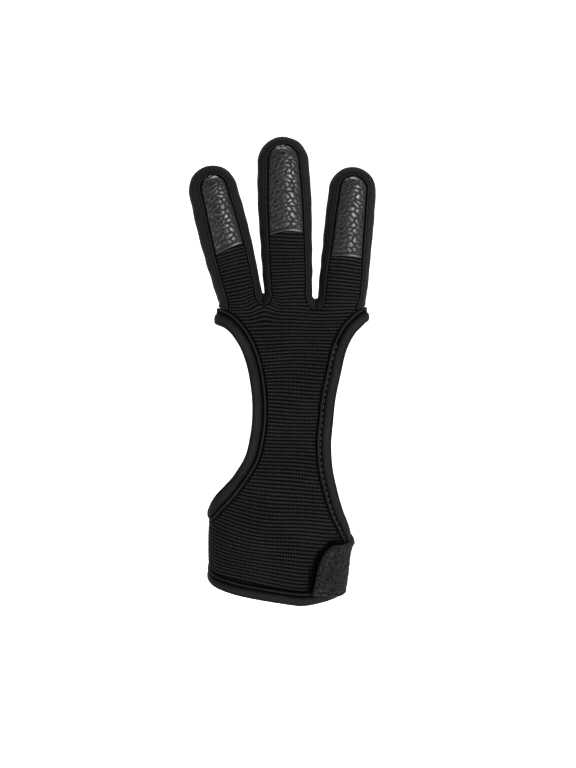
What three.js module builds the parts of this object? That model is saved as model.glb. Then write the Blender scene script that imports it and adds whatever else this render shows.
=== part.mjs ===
// A three-finger archery glove for the right hand, in the form it takes when it is worn.
// X points to the thumb side, -Y to the palm side and Z to the fingertips. The origin is the
// middle of the wrist's edge, where the arm goes in.
// Every piece is a sheet: a grid of points on its outer face and one on its inner face.

import * as THREE from "three";
import { mergeVertices } from "three/addons/utils/BufferGeometryUtils.js";

// Hand sizes, in millimetres.
const palmHeight = 121.5; // wrist edge to the row where the fingers start
const palmWidth = 79;
const wristDepth = 41;
const fingerDepth = 20.4;

// Walls and widths of the pieces, in millimetres.
const panelWall = 1.8;
const stripWall = 1.6;
const padWall = 1.6;
const bindingWidth = 6.3;
const hemWidth = 5.6;
const tabWall = 1.8;
const seamGap = 0.32;
const padGap = 0.4;
const webGap = 0.5; // between the side strips' lower ends and the panels
const hemGap = 0.48;
const tapeGap = 0.45;
const slitGap = 1.0; // the wrist's opening under the closure tab

// Side openings, in millimetres above the wrist edge, and the closure tab.
const pinkyOpening = { bottom: 31.5, top: 117 };
const thumbOpening = { bottom: 27.5, top: 117.5 };
const backDrop = 8.5; // how far an opening's edge sits lower on the back than on the palm
const tabTop = 26;
const tabRootAngle = 128; // degrees round the wrist from the palm's middle
const tabLift = 1.35;

// Fingers. Lengths in millimetres; base and tip are the middle of the finger's first row and of
// its round end. Pad is the leather's length below the round end's middle, border the width of
// the side strip seen from the palm (little finger's side, thumb's side) and top the same at the
// very tip.
const fingers = {
  ring: {
    base: [-13.15, palmHeight], tip: [-26.85, 175.4], radius: 10.6,
    pad: 27.3, border: [5.3, 4.1], top: 4.8,
  },
  middle: {
    base: [6.65, palmHeight], tip: [4.05, 187.4], radius: 11.2,
    pad: 31.8, border: [4.4, 4], top: 3.8,
  },
  index: {
    base: [29.45, palmHeight], tip: [34.55, 175.0], radius: 10.3,
    pad: 29.8, border: [4.3, 3.9], top: 4.2,
  },
};

// Where neighbouring fingers part: across the hand, the seam's rise there above the fingers'
// first row, and the height of the side strips' web above the seam.
const crotches = [
  { across: -4.25, rise: 2.2, web: 5.2 },
  { across: 18.85, rise: 0, web: 5.2 },
];
const crotchRiseWidth = 4;
const crotchDent = 1.5; // depth of the dent below each crotch
const crotchDentWidth = 5;
const crotchDentReach = 14;
const baseBlend = 14; // height over which a finger's form runs into the hand's
const crotchHeight = 7.5; // height of the U in the seam between two fingers

// Shares of the hand's sizes up its height: height of palmHeight, shift and width of palmWidth,
// depth of wristDepth. Fullness is the exponent of the oval; roll and pitch are in degrees, and
// rise lifts the thumb side, in millimetres.
const handSections = [
  { at: 0.0, shift: 0, width: 0.718, depth: 1.0, fullness: 2.7, roll: -9, pitch: 12, rise: 2.8 },
  { at: 0.09, shift: 0.006, width: 0.742, depth: 1.0, fullness: 2.7, roll: -9, pitch: 12, rise: 2.5 },
  { at: 0.17, shift: 0.0135, width: 0.757, depth: 1.0, fullness: 2.6, roll: -8, pitch: 12, rise: 1.4 },
  { at: 0.24, shift: 0.036, width: 0.79, depth: 0.98, fullness: 2.5, roll: -7, pitch: 11.5, rise: 0.5 },
  { at: 0.37, shift: 0.054, width: 0.87, depth: 0.9, fullness: 2.3, roll: -5, pitch: 9, rise: 0 },
  { at: 0.53, shift: 0.068, width: 0.975, depth: 0.8, fullness: 2.3, roll: -3, pitch: 5, rise: 0 },
  { at: 0.7, shift: 0.088, width: 0.985, depth: 0.71, fullness: 2.4, roll: -1.5, pitch: 2, rise: 0 },
  { at: 0.86, shift: 0.099, width: 0.9, depth: 0.625, fullness: 2.6, roll: 0, pitch: 0, rise: 0 },
  { at: 0.95, shift: 0.101, width: 0.85, depth: 0.565, fullness: 2.8, roll: 0, pitch: 0, rise: 0 },
  { at: 1.0, shift: 0.1, width: 0.835, depth: 0.52, fullness: 2.8, roll: 0, pitch: 0, rise: 0 },
];
const riseFrom = 0.35; // share of half the width where the thumb side's lift begins
const riseSpan = 0.6;

// Reach of each opening into the palm, as a share of half the hand's width there, against the
// share of the opening's height.
const pinkyReach = [
  { at: 0, reach: 0 },
  { at: 0.03, reach: 0.03 },
  { at: 0.08, reach: 0.105 },
  { at: 0.14, reach: 0.22 },
  { at: 0.22, reach: 0.372 },
  { at: 0.32, reach: 0.529 },
  { at: 0.42, reach: 0.587 },
  { at: 0.52, reach: 0.598 },
  { at: 0.64, reach: 0.566 },
  { at: 0.76, reach: 0.487 },
  { at: 0.86, reach: 0.37 },
  { at: 0.93, reach: 0.238 },
  { at: 0.975, reach: 0.115 },
  { at: 1, reach: 0 },
];
const thumbReach = [
  { at: 0, reach: 0 },
  { at: 0.03, reach: 0.03 },
  { at: 0.08, reach: 0.105 },
  { at: 0.14, reach: 0.21 },
  { at: 0.22, reach: 0.323 },
  { at: 0.32, reach: 0.435 },
  { at: 0.42, reach: 0.488 },
  { at: 0.52, reach: 0.495 },
  { at: 0.64, reach: 0.479 },
  { at: 0.76, reach: 0.404 },
  { at: 0.86, reach: 0.315 },
  { at: 0.93, reach: 0.2 },
  { at: 0.975, reach: 0.075 },
  { at: 1, reach: 0 },
];

// Shares along a finger, from its first row at 0 to the middle of its round end at 1.
const fingerShares = {
  ring: [
    { at: 0, width: 0.88 },
    { at: 0.25, width: 0.94 },
    { at: 0.5, width: 1.01 },
    { at: 0.75, width: 1.03 },
    { at: 1, width: 1 },
  ],
  middle: [
    { at: 0, width: 0.88 },
    { at: 0.25, width: 0.95 },
    { at: 0.5, width: 0.99 },
    { at: 0.75, width: 1.035 },
    { at: 1, width: 1 },
  ],
  index: [
    { at: 0, width: 1 },
    { at: 0.25, width: 1.02 },
    { at: 0.5, width: 1.01 },
    { at: 0.75, width: 1.02 },
    { at: 1, width: 1 },
  ],
};
const depthShares = [
  { at: 0, depth: 1 },
  { at: 0.35, depth: 0.98 },
  { at: 0.7, depth: 0.94 },
  { at: 1, depth: 0.88 },
];
const borderShares = [
  { at: 0, inner: 0.68, outer: 0.68 },
  { at: 0.35, inner: 0.7, outer: 0.78 },
  { at: 0.6, inner: 0.82, outer: 0.9 },
  { at: 0.85, inner: 0.95, outer: 1 },
  { at: 1, inner: 1, outer: 1 },
];
const seamDepthShare = 0.8; // how far the seams stand out, as a share of the finger's depth
const tipDrop = 0.22; // share of that depth lost at the very tip

// Sections of the folded tape: across is a share of its width from the open edge, over and
// under are its faces above and below the panel's outer face, in millimetres.
const tapeSection = [
  { across: 0, over: -0.35, under: -1.4 },
  { across: 0.08, over: 0.45, under: -2.15 },
  { across: 0.4, over: 0.75, under: -2.3 },
  { across: 0.72, over: 0.35, under: -2.2 },
  { across: 0.82, over: -0.2, under: -2.1 },
  { across: 0.91, over: 0.5, under: -2.0 },
  { across: 1, over: -0.1, under: -1.9 },
];

// The closure tab: its free edge in degrees round the wrist against the share of its height, and
// its lower edge in millimetres above the wrist edge against the share of its length.
const tabEdge = [
  { at: 0, angle: 31 },
  { at: 0.25, angle: 32.2 },
  { at: 0.5, angle: 33.5 },
  { at: 0.72, angle: 35.7 },
  { at: 0.9, angle: 38.5 },
  { at: 1, angle: 42.5 },
];
const tabFoot = [
  { at: 0, height: 4.4 },
  { at: 0.07, height: 3.9 },
  { at: 0.16, height: 2.4 },
  { at: 0.3, height: 1.7 },
  { at: 1, height: 1.4 },
];

const degrees = Math.PI / 180;
const front = -1;
const back = 1;
const cuffSteps = 3;
const seamAngles = {
  pinky: -90 * degrees + seamGap / wristDepth,
  thumb: 90 * degrees - slitGap / wristDepth,
};
const slitTurns = { thumb: 0.025 };
const mix = (a, b, t) => a + (b - a) * t;
const smooth = (t) => t * t * (3 - 2 * t);
const clamp01 = (t) => Math.min(1, Math.max(0, t));

// The value of one column of a table at a place, on a smooth curve through its rows.
function read(table, column, at) {
  const last = table.length - 1;
  const x = Math.min(Math.max(at, table[0].at), table[last].at);
  let i = 0;
  while (i < last - 1 && x >= table[i + 1].at) i += 1;
  const slope = (k) => {
    const a = table[Math.max(k - 1, 0)];
    const b = table[Math.min(k + 1, last)];
    return (b[column] - a[column]) / (b.at - a.at);
  };
  const span = table[i + 1].at - table[i].at;
  const t = (x - table[i].at) / span;
  const from = table[i][column] * (1 + 2 * t) * (1 - t) ** 2 + span * slope(i) * t * (1 - t) ** 2;
  const to = table[i + 1][column] * t * t * (3 - 2 * t) - span * slope(i + 1) * t * t * (1 - t);
  return from + to;
}

// A point of the hand's oval tube: angle 0 is the middle of the palm, 90 degrees the thumb side,
// and height is measured up the tube from the wrist edge.
function handFace(angle, height) {
  const level = height / palmHeight;
  const shift = read(handSections, "shift", level) * palmWidth;
  const halfWidth = (read(handSections, "width", level) * palmWidth) / 2;
  const halfDepth = (read(handSections, "depth", level) * wristDepth) / 2;
  const n = read(handSections, "fullness", level);
  const scale = (Math.abs(Math.sin(angle)) ** n + Math.abs(Math.cos(angle)) ** n) ** (-1 / n);
  const across = halfWidth * Math.sin(angle) * scale;
  const x = shift + across;
  let y = -halfDepth * Math.cos(angle) * scale;
  const z = height
    + across * Math.tan(read(handSections, "roll", level) * degrees)
    + y * Math.tan(read(handSections, "pitch", level) * degrees)
    + read(handSections, "rise", level) * smooth(clamp01((across / halfWidth - riseFrom) / riseSpan));
  const fade = smooth(clamp01(1 - (palmHeight - height) / crotchDentReach));
  for (const { across: at } of crotches) {
    y -= Math.sign(y) * crotchDent * fade * Math.exp(-(((x - at) / crotchDentWidth) ** 2));
  }
  return new THREE.Vector3(x, y, z);
}

// The same point, moved out of the tube by a lift.
function handPoint(angle, height, lift) {
  const step = 0.02;
  const point = handFace(angle, height);
  const around = handFace(angle + step, height).sub(handFace(angle - step, height));
  const up = handFace(angle, height + 1).sub(handFace(angle, height - 1));
  return point.addScaledVector(around.cross(up).normalize(), lift);
}

// The angle of the point of the palm's half that lies at a share of the half width.
function angleAcross(share, height) {
  const n = read(handSections, "fullness", height / palmHeight);
  const u = Math.min(Math.abs(share), 1 - 1e-9) ** n;
  return Math.sign(share) * Math.atan((u / (1 - u)) ** (1 / n));
}

// A place on the edge of a side opening. Turn runs from 0 at the top, down the palm side to
// half a turn at the bottom, and up the back. Side is -1 for the little finger, 1 for the thumb.
function openingEdge(opening, reachTable, side, turn) {
  const share = (1 + Math.cos(turn)) / 2;
  const drop = Math.sin(turn) < 0 ? backDrop * Math.sin(turn) ** 2 * (1 - share) : 0;
  const height = mix(opening.bottom, opening.top, share) - drop;
  const reach = Math.max(read(reachTable, "reach", share), 0);
  const palmAngle = angleAcross(side * (1 - reach), height);
  const angle = Math.sin(turn) >= 0 ? palmAngle : side * Math.PI - palmAngle;
  return { angle, height };
}

// A side opening's edge moved away from the opening along the hand's face, by an inset.
function insetEdge(opening, reachTable, side, turn, inset) {
  const step = 0.02;
  const here = openingEdge(opening, reachTable, side, turn);
  const before = openingEdge(opening, reachTable, side, turn - step);
  const after = openingEdge(opening, reachTable, side, turn + step);
  const along = handFace(after.angle, after.height).sub(handFace(before.angle, before.height));
  const perAngle = handFace(here.angle + step, here.height)
    .sub(handFace(here.angle - step, here.height))
    .divideScalar(2 * step);
  const perHeight = handFace(here.angle, here.height + 1)
    .sub(handFace(here.angle, here.height - 1))
    .divideScalar(2);
  const normal = perAngle.clone().cross(perHeight);
  const away = normal.cross(along).normalize().multiplyScalar(-side * inset);
  const aa = perAngle.dot(perAngle);
  const ah = perAngle.dot(perHeight);
  const hh = perHeight.dot(perHeight);
  const ra = away.dot(perAngle);
  const rh = away.dot(perHeight);
  const det = aa * hh - ah * ah;
  return {
    angle: here.angle + (ra * hh - rh * ah) / det,
    height: here.height + (rh * aa - ra * ah) / det,
  };
}

const openings = {
  pinky: { opening: pinkyOpening, table: pinkyReach, side: -1 },
  thumb: { opening: thumbOpening, table: thumbReach, side: 1 },
};
const panelInset = bindingWidth + tapeGap;
const topSteps = 4; // steps of an opening's edge above the fingers' first row
const sideSteps = 18; // steps from there to the opening's bottom

function edgeOf(name, turn, inset) {
  const { opening, table, side } = openings[name];
  return insetEdge(opening, table, side, turn, inset);
}

// The turn at which the panel's edge beside an opening comes down to a height.
function turnAtHeight(name, side, height) {
  let low = 0;
  let high = 90 * degrees;
  for (let k = 0; k < 40; k += 1) {
    const turn = (low + high) / 2;
    if (edgeOf(name, -side * turn, panelInset).height > height) low = turn;
    else high = turn;
  }
  return -side * low;
}

// The turns of an opening's stations on one side of the hand, from its top to its bottom.
function stationTurns(name, side) {
  const first = turnAtHeight(name, side, palmHeight);
  const last = -side * Math.PI;
  const turns = [];
  for (let k = 0; k < topSteps; k += 1) turns.push((first * k) / topSteps);
  for (let k = 0; k <= sideSteps; k += 1) turns.push(mix(first, last, k / sideSteps));
  return turns;
}

// The same angle seen on the palm: angles on the back are folded over the side seams.
function folded(side, angle) {
  const turned = side === front ? angle : Math.PI - angle;
  return Math.atan2(Math.sin(turned), Math.cos(turned));
}

// The panel's edge beside an opening and below it, down to the hem.
function panelEdge(name, side) {
  const seam = seamAngles[name];
  const bottom = hemWidth + hemGap;
  const edge = stationTurns(name, side).slice(topSteps).map((turn) => {
    const { angle, height } = edgeOf(name, turn, panelInset);
    return { angle: folded(side, angle), height };
  });
  const corner = edge[edge.length - 1];
  corner.angle = seam;
  corner.height -= seamGap / 2;
  for (let k = 1; k <= cuffSteps; k += 1) {
    edge.push({ angle: seam, height: mix(corner.height, bottom, k / cuffSteps) });
  }
  return edge;
}

// Grids that face each other as one closed body. A block holds outer and inner grids, and names
// the sides that are closed by a rim.
function closedSheet(blocks) {
  const positions = [];
  const quad = (a, b, c, d) => {
    for (const p of [a, b, c, a, c, d]) positions.push(p.x, p.y, p.z);
  };
  for (const { outer, inner, rims } of blocks) {
    const rows = outer.length - 1;
    const columns = outer[0].length - 1;
    for (let i = 0; i < rows; i += 1) {
      for (let j = 0; j < columns; j += 1) {
        quad(outer[i][j], outer[i][j + 1], outer[i + 1][j + 1], outer[i + 1][j]);
        quad(inner[i][j], inner[i + 1][j], inner[i + 1][j + 1], inner[i][j + 1]);
      }
      if (rims.left) quad(inner[i][0], outer[i][0], outer[i + 1][0], inner[i + 1][0]);
      if (rims.right) {
        quad(outer[i][columns], inner[i][columns], inner[i + 1][columns], outer[i + 1][columns]);
      }
    }
    for (let j = 0; j < columns; j += 1) {
      if (rims.first) quad(inner[0][j], inner[0][j + 1], outer[0][j + 1], outer[0][j]);
      if (rims.last) quad(outer[rows][j], outer[rows][j + 1], inner[rows][j + 1], inner[rows][j]);
    }
  }
  turnOutwards(positions);
  const loose = new THREE.BufferGeometry();
  loose.setAttribute("position", new THREE.Float32BufferAttribute(positions, 3));
  const geometry = mergeVertices(loose, 1e-4);
  geometry.computeVertexNormals();
  return geometry;
}

// Turns the triangles round where the grid's rows and columns run the other way.
function turnOutwards(positions) {
  let volume = 0;
  const at = (k) => new THREE.Vector3(positions[k], positions[k + 1], positions[k + 2]);
  for (let k = 0; k < positions.length; k += 9) {
    volume += at(k).dot(at(k + 3).cross(at(k + 6)));
  }
  if (volume > 0) return;
  for (let k = 0; k < positions.length; k += 9) {
    for (let c = 0; c < 3; c += 1) {
      [positions[k + 3 + c], positions[k + 6 + c]] = [positions[k + 6 + c], positions[k + 3 + c]];
    }
  }
}

const allRims = { left: true, right: true, first: true, last: true };

// Fingers

const fingerNames = ["ring", "middle", "index"];
const fingerColumns = 4;

// The finger's own directions and shares in the plane across the hand.
function fingerFrame(name) {
  const { base, tip, pad } = fingers[name];
  const length = Math.hypot(tip[0] - base[0], tip[1] - base[1]);
  const along = [(tip[0] - base[0]) / length, (tip[1] - base[1]) / length];
  return {
    length,
    along,
    across: [along[1], -along[0]],
    padShare: 1 - pad / length,
    crotchShare: crotchHeight / length,
  };
}

// The heights of a finger's rows: dense in the crotch's U, then even up to the pad and past it.
function limbLevels(name) {
  const { padShare, crotchShare } = fingerFrame(name);
  const lower = [0, 0.1, 0.36, 1].map((t) => t * crotchShare);
  const ribbed = [1 / 3, 2 / 3].map((t) => mix(crotchShare, padShare, t));
  const padded = [0, 0.25, 0.5, 0.75, 1].map((t) => mix(padShare, 1, t));
  return { below: [...lower, ...ribbed], above: padded };
}

const isOuterEnd = (name, end) => (name === "ring" && end === 0) || (name === "index" && end === 1);
const openingBeside = (name) => (name === "ring" ? "pinky" : "thumb");

// The angle on the hand's tube, at the fingers' first row, of one end of a finger.
function baseAngle(name, side, end) {
  if (isOuterEnd(name, end)) return panelEdge(openingBeside(name), side)[0].angle;
  const shift = read(handSections, "shift", 1) * palmWidth;
  const halfWidth = (read(handSections, "width", 1) * palmWidth) / 2;
  const crotch = crotches[fingerNames.indexOf(name) + end - 1];
  return angleAcross((crotch.across - shift) / halfWidth, palmHeight);
}

// A point of the hand's face on the fingers' first row, which rises at the crotches.
function basePoint(side, angle, lift) {
  const turned = side === front ? angle : Math.PI - angle;
  const point = handPoint(turned, palmHeight, lift);
  for (const { across, rise } of crotches) {
    point.z += rise * Math.exp(-(((point.x - across) / crotchRiseWidth) ** 2));
  }
  return point;
}

// A point of the finger's outline in the plane across the hand, moved in by a share of the side
// strip's border and by a gap. End is 0 on the little finger's side and 1 on the thumb's.
function outlinePoint(name, end, share, strip, gap, lowest) {
  const { base, radius } = fingers[name];
  const { length, along, across, crotchShare } = fingerFrame(name);
  const sign = end === 0 ? -1 : 1;
  const outer = isOuterEnd(name, end);
  const limb = (t) => {
    const half = read(fingerShares[name], "width", t) * radius;
    const offset = sign * (half - gap - read(borderShares, outer ? "outer" : "inner", t) * strip);
    return [
      base[0] + along[0] * length * t + across[0] * offset,
      base[1] + along[1] * length * t + across[1] * offset,
    ];
  };
  const point = limb(share);
  if (share >= crotchShare) return point;
  const t = share / crotchShare;
  const top = limb(crotchShare);
  const ease = outer ? smooth(t) : Math.sqrt(1 - (1 - t) ** 2);
  return [mix(lowest[0], outer ? point[0] : top[0], ease), mix(lowest[1], top[1], t)];
}

// A point of a finger's palm or back face. Across is 0 to 1 between its two seams; past the
// middle of the round end, tipAngle turns from 0 to 90 degrees and share stays 1. Gap holds the
// clearances to the sides and above the first row.
function fingerFace(name, side, share, tipAngle, across, gap) {
  const { radius, tip, border, top } = fingers[name];
  const { length, along, across: lateral } = fingerFrame(name);
  const [from, to] = [0, 1].map((end) => baseAngle(name, side, end));
  if (share === 0 && gap.base === 0) return basePoint(side, mix(from, to, across), 0);
  const ends = [from, to].map((angle) => {
    const point = basePoint(side, angle, 0);
    return [point.x, point.z + gap.base];
  });
  const depth = (read(depthShares, "depth", share) * fingerDepth) / 2;
  let x;
  let z;
  let middle;
  if (tipAngle > 0) {
    const [left, right] = border.map((width) => radius - width - gap.side);
    const half = (left + right) / 2;
    const out = Math.cos(tipAngle) * (2 * across - 1);
    const reach = half * out + (right - left) / 2;
    const rise = (radius - top - gap.side) * Math.sin(tipAngle);
    x = tip[0] + lateral[0] * reach + along[0] * rise;
    z = tip[1] + lateral[1] * reach + along[1] * rise;
    middle = 1 - Math.min(1, out ** 2 + Math.sin(tipAngle) ** 2);
  } else {
    const seams = ends.map((lowest, end) =>
      outlinePoint(name, end, share, border[end], gap.side, lowest));
    x = mix(seams[0][0], seams[1][0], across);
    z = mix(seams[0][1], seams[1][1], across);
    middle = 1 - (2 * across - 1) ** 2;
  }
  const drop = 1 - tipDrop * Math.sin(tipAngle) ** 2;
  const crown = drop * (seamDepthShare + (1 - seamDepthShare) * middle);
  const point = new THREE.Vector3(x, side * depth * crown, z);
  const rest = 1 - smooth(clamp01((share * length) / baseBlend));
  if (rest > 0) {
    const hand = basePoint(side, mix(from, to, across), 0);
    const flat = 1 - (2 * across - 1) ** 2;
    const own = side * (fingerDepth / 2) * (seamDepthShare + (1 - seamDepthShare) * flat);
    point.x += rest * (hand.x - mix(ends[0][0], ends[1][0], across));
    point.y += rest * (hand.y - own);
  }
  return point;
}

// A finger's rows between two seams, over the round end too where it has one.
function fingerRows(name, side, levels, withTip, gap) {
  const row = (share, tipAngle) => {
    const points = [];
    for (let j = 0; j <= fingerColumns; j += 1) {
      points.push(fingerFace(name, side, share, tipAngle, j / fingerColumns, gap));
    }
    return points;
  };
  const rows = levels.map((share) => row(share, 0));
  if (withTip) for (const k of [1, 2, 3]) rows.push(row(1, k * 22.5 * degrees));
  return rows;
}

// The inner face of a finger's rows: straight through the hand, and along the hand's own normal
// at the first row, where the palm's sheet takes over.
function innerRows(rows, name, side, levels, wall) {
  const { length } = fingerFrame(name);
  const [from, to] = [0, 1].map((end) => baseAngle(name, side, end));
  return rows.map((points, i) => {
    const share = i < levels.length ? levels[i] : 1;
    const rest = 1 - smooth(clamp01((share * length) / baseBlend));
    return points.map((point, j) => {
      const angle = mix(from, to, j / fingerColumns);
      const step = basePoint(side, angle, -wall).sub(basePoint(side, angle, 0));
      const straight = new THREE.Vector3(0, -side * wall, 0);
      return point.clone().add(straight.lerp(step, rest));
    });
  });
}

// The ribbed panels of the palm and the back

function handRows(side, lift) {
  const left = panelEdge("pinky", side);
  const right = panelEdge("thumb", side);
  const total = fingerColumns * fingerNames.length;
  const cuts = [baseAngle("ring", side, 0), ...fingerNames.map((name) => baseAngle(name, side, 1))];
  const span = cuts[cuts.length - 1] - cuts[0];
  const rows = left.map((edge, i) => {
    const fade = smooth(clamp01((palmHeight - edge.height) / (palmHeight * 0.3)));
    const points = [];
    for (let j = 0; j <= total; j += 1) {
      const k = Math.min(Math.floor(j / fingerColumns), fingerNames.length - 1);
      const angleAtFingers = mix(cuts[k], cuts[k + 1], j / fingerColumns - k);
      if (i === 0) {
        points.push(basePoint(side, angleAtFingers, lift));
      } else {
        const share = mix((angleAtFingers - cuts[0]) / span, j / total, fade);
        const angle = mix(edge.angle, right[i].angle, share);
        const turned = side === front ? angle : Math.PI - angle;
        points.push(handPoint(turned, mix(edge.height, right[i].height, share), lift));
      }
    }
    return points;
  });
  return rows.reverse();
}

function panel(side) {
  const blocks = [
    {
      outer: handRows(side, 0),
      inner: handRows(side, -panelWall),
      rims: { left: true, right: true, first: true, last: false },
    },
  ];
  const gap = { side: seamGap, base: 0 };
  for (const name of fingerNames) {
    const { below, above } = limbLevels(name);
    const { padShare, length } = fingerFrame(name);
    const levels = side === front ? [...below, padShare - seamGap / length] : [...below, ...above];
    const outer = fingerRows(name, side, levels, side === back, gap);
    const inner = innerRows(outer, name, side, levels, panelWall);
    blocks.push({ outer, inner, rims: { left: true, right: true, first: false, last: true } });
  }
  return closedSheet(blocks);
}

function pad(name) {
  const { above } = limbLevels(name);
  const gap = { side: padGap, base: 0 };
  const outer = fingerRows(name, front, above, true, gap);
  const inner = innerRows(outer, name, front, above, padWall);
  return closedSheet([{ outer, inner, rims: allRims }]);
}

// Side strips

const stripColumns = 2 * topSteps;

// Points of the strip round one station: half an oval from the back seam over the edge to the
// palm seam, made smaller by the wall for the inner face.
function stripStation(name, end, share, tipAngle, wall) {
  const { radius, tip } = fingers[name];
  const { along, across: lateral, length, crotchShare } = fingerFrame(name);
  const sign = end === 0 ? -1 : 1;
  const gap = { side: 0, base: webGap };
  const palmSeam = fingerFace(name, front, share, tipAngle, end, gap);
  const backSeam = fingerFace(name, back, share, tipAngle, end, gap);
  const middle = palmSeam.clone().add(backSeam).multiplyScalar(0.5);
  let edge = outlinePoint(name, end, share, 0, 0, lowestEdge(name, end, middle));
  if (tipAngle > 0) {
    const reach = sign * radius * Math.cos(tipAngle);
    const rise = radius * Math.sin(tipAngle);
    edge = [0, 1].map((k) => tip[k] + lateral[k] * reach + along[k] * rise);
  }
  const out = new THREE.Vector3(edge[0] - middle.x, 0, edge[1] - middle.z);
  const width = out.length();
  out.normalize();
  const depth = (backSeam.y - palmSeam.y) / 2;
  const points = [];
  for (let j = 0; j <= stripColumns; j += 1) {
    const turn = mix(-90, 90, j / stripColumns) * degrees;
    const point = middle.clone().addScaledVector(out, (width - wall) * Math.cos(turn));
    point.y -= (depth - wall) * Math.sin(turn);
    points.push(point);
  }
  if (!isOuterEnd(name, end)) {
    if (share === 0) for (const point of points) point.x -= (sign * seamGap) / 2;
    return points;
  }
  const rest = 1 - smooth(clamp01(share / crotchShare));
  if (rest > 0) {
    const lowest = sideEnd(name, wall);
    points.forEach((point, j) => point.lerp(lowest[j], rest));
  }
  return points;
}

// Where the strip's edge ends below: between two fingers, or above the side opening's tape.
function lowestEdge(name, end, middle) {
  if (!isOuterEnd(name, end)) {
    const { web } = crotches[fingerNames.indexOf(name) + end - 1];
    return [middle.x, middle.z + web];
  }
  const { opening, side } = openings[openingBeside(name)];
  const point = handPoint((side * Math.PI) / 2, opening.top + panelInset, 0);
  return [point.x, point.z];
}

// The lower end of an outer strip, laid along the side opening's tape.
function sideEnd(name, wall) {
  const beside = openingBeside(name);
  const points = [];
  for (let j = 0; j <= stripColumns; j += 1) {
    const side = j < topSteps ? back : front;
    const reach = turnAtHeight(beside, side, palmHeight + webGap);
    const turn = reach * Math.abs(j / topSteps - 1);
    const { angle, height } = edgeOf(beside, turn, panelInset);
    points.push(handPoint(angle, height, -wall));
  }
  return points;
}

function sideStrip(name) {
  const { below, above } = limbLevels(name);
  const levels = [...below, ...above];
  const path = [
    ...levels.map((share) => [0, share, 0]),
    ...[1, 2, 3].map((k) => [0, 1, k * 22.5 * degrees]),
    [0, 1, 90 * degrees],
    ...[3, 2, 1].map((k) => [1, 1, k * 22.5 * degrees]),
    ...levels.slice().reverse().map((share) => [1, share, 0]),
  ];
  const grid = (wall) => path.map(([end, share, tipAngle]) => (
    stripStation(name, end, share, tipAngle, wall)
  ));
  return closedSheet([{ outer: grid(0), inner: grid(stripWall), rims: allRims }]);
}

// Tapes, hem and tab

// The tape round a side opening; a slit leaves it open at the bottom by that width.
function openingTape(name, slit) {
  const palmTurns = stationTurns(name, front);
  const backTurns = stationTurns(name, back);
  const turns = [...backTurns.slice().reverse(), ...palmTurns.slice(1)];
  if (slit) {
    const slitTurn = slitTurns[name];
    turns[0] += slitTurn;
    turns[turns.length - 1] -= slitTurn;
  }
  const grid = (face) => turns.map((turn) => tapeSection.map((section) => {
    const { angle, height } = edgeOf(name, turn, section.across * bindingWidth);
    return handPoint(angle, height, section[face]);
  }));
  const outer = grid("over");
  const inner = grid("under");
  if (!slit) {
    outer[outer.length - 1] = outer[0];
    inner[inner.length - 1] = inner[0];
  }
  const rims = { left: true, right: true, first: slit, last: slit };
  return closedSheet([{ outer, inner, rims }]);
}

function wristHem() {
  const stations = 40;
  const start = 90 * degrees + slitGap / wristDepth;
  const turnRound = 2 * Math.PI - (2 * slitGap) / wristDepth;
  const grid = (face) => {
    const rows = [];
    for (let k = 0; k <= stations; k += 1) {
      const angle = start + (k / stations) * turnRound;
      rows.push(tapeSection.map((section) => (
        handPoint(angle, section.across * hemWidth, section[face])
      )));
    }
    return rows;
  };
  return closedSheet([{ outer: grid("over"), inner: grid("under"), rims: allRims }]);
}

function closureTab() {
  const rows = [0, 0.2, 0.4, 0.6, 0.8, 0.92, 1];
  const columns = [0, 0.05, 0.12, 0.2, 0.3, 0.4, 0.5, 0.6, 0.7, 0.85, 1];
  const grid = (lift) => rows.map((up) => columns.map((along) => {
    const angle = mix(read(tabEdge, "angle", up), tabRootAngle, along) * degrees;
    return handPoint(angle, mix(read(tabFoot, "height", along), tabTop, up), lift);
  }));
  return closedSheet([{ outer: grid(tabLift + tabWall), inner: grid(tabLift), rims: allRims }]);
}

// Materials and assembly

const ribbedCloth = new THREE.MeshStandardMaterial({ color: 0x151515, roughness: 0.9 });
const smoothCloth = new THREE.MeshStandardMaterial({ color: 0x1d1d1d, roughness: 0.85 });
const leather = new THREE.MeshStandardMaterial({ color: 0x161616, roughness: 0.35 });
const loopCloth = new THREE.MeshStandardMaterial({ color: 0x252525, roughness: 0.95 });

const glove = new THREE.Group();
glove.name = "archery_glove";

function add(name, geometry, material) {
  const mesh = new THREE.Mesh(geometry, material);
  mesh.name = name;
  glove.add(mesh);
}

add("palm_panel", panel(front), ribbedCloth);
add("back_panel", panel(back), ribbedCloth);
for (const name of fingerNames) {
  add(`${name}_side_strip`, sideStrip(name), smoothCloth);
  add(`${name}_pad`, pad(name), leather);
}
add("pinky_opening_binding", openingTape("pinky", false), smoothCloth);
add("thumb_opening_binding", openingTape("thumb", true), smoothCloth);
add("wrist_hem", wristHem(), smoothCloth);
add("closure_tab", closureTab(), loopCloth);

export default glove;
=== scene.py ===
"""A three-finger archery glove for the right hand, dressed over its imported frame.

The glove stands as it is worn: ribbed knit over the palm and the back, foam-backed strips round
three fingers, pebbled leather over the fingertips, folded tape round the two side openings and
the wrist, and a closure tab. All forms are worked out in millimetres on grids of two parameters
and put into the meshes in metres. X points to the thumb side, -Y to the palm side and Z to the
fingertips; the origin is the middle of the wrist's edge.

The hand is an oval tube: a point lies at an angle round it (0 in the palm's middle, a quarter
turn on the thumb side) and at a height up it. A finger's face is laid between two seams, from
its first row at share 0 to the middle of its round end at share 1, and on round the end.
"""

import logging
from dataclasses import dataclass, field
from enum import Enum

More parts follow.
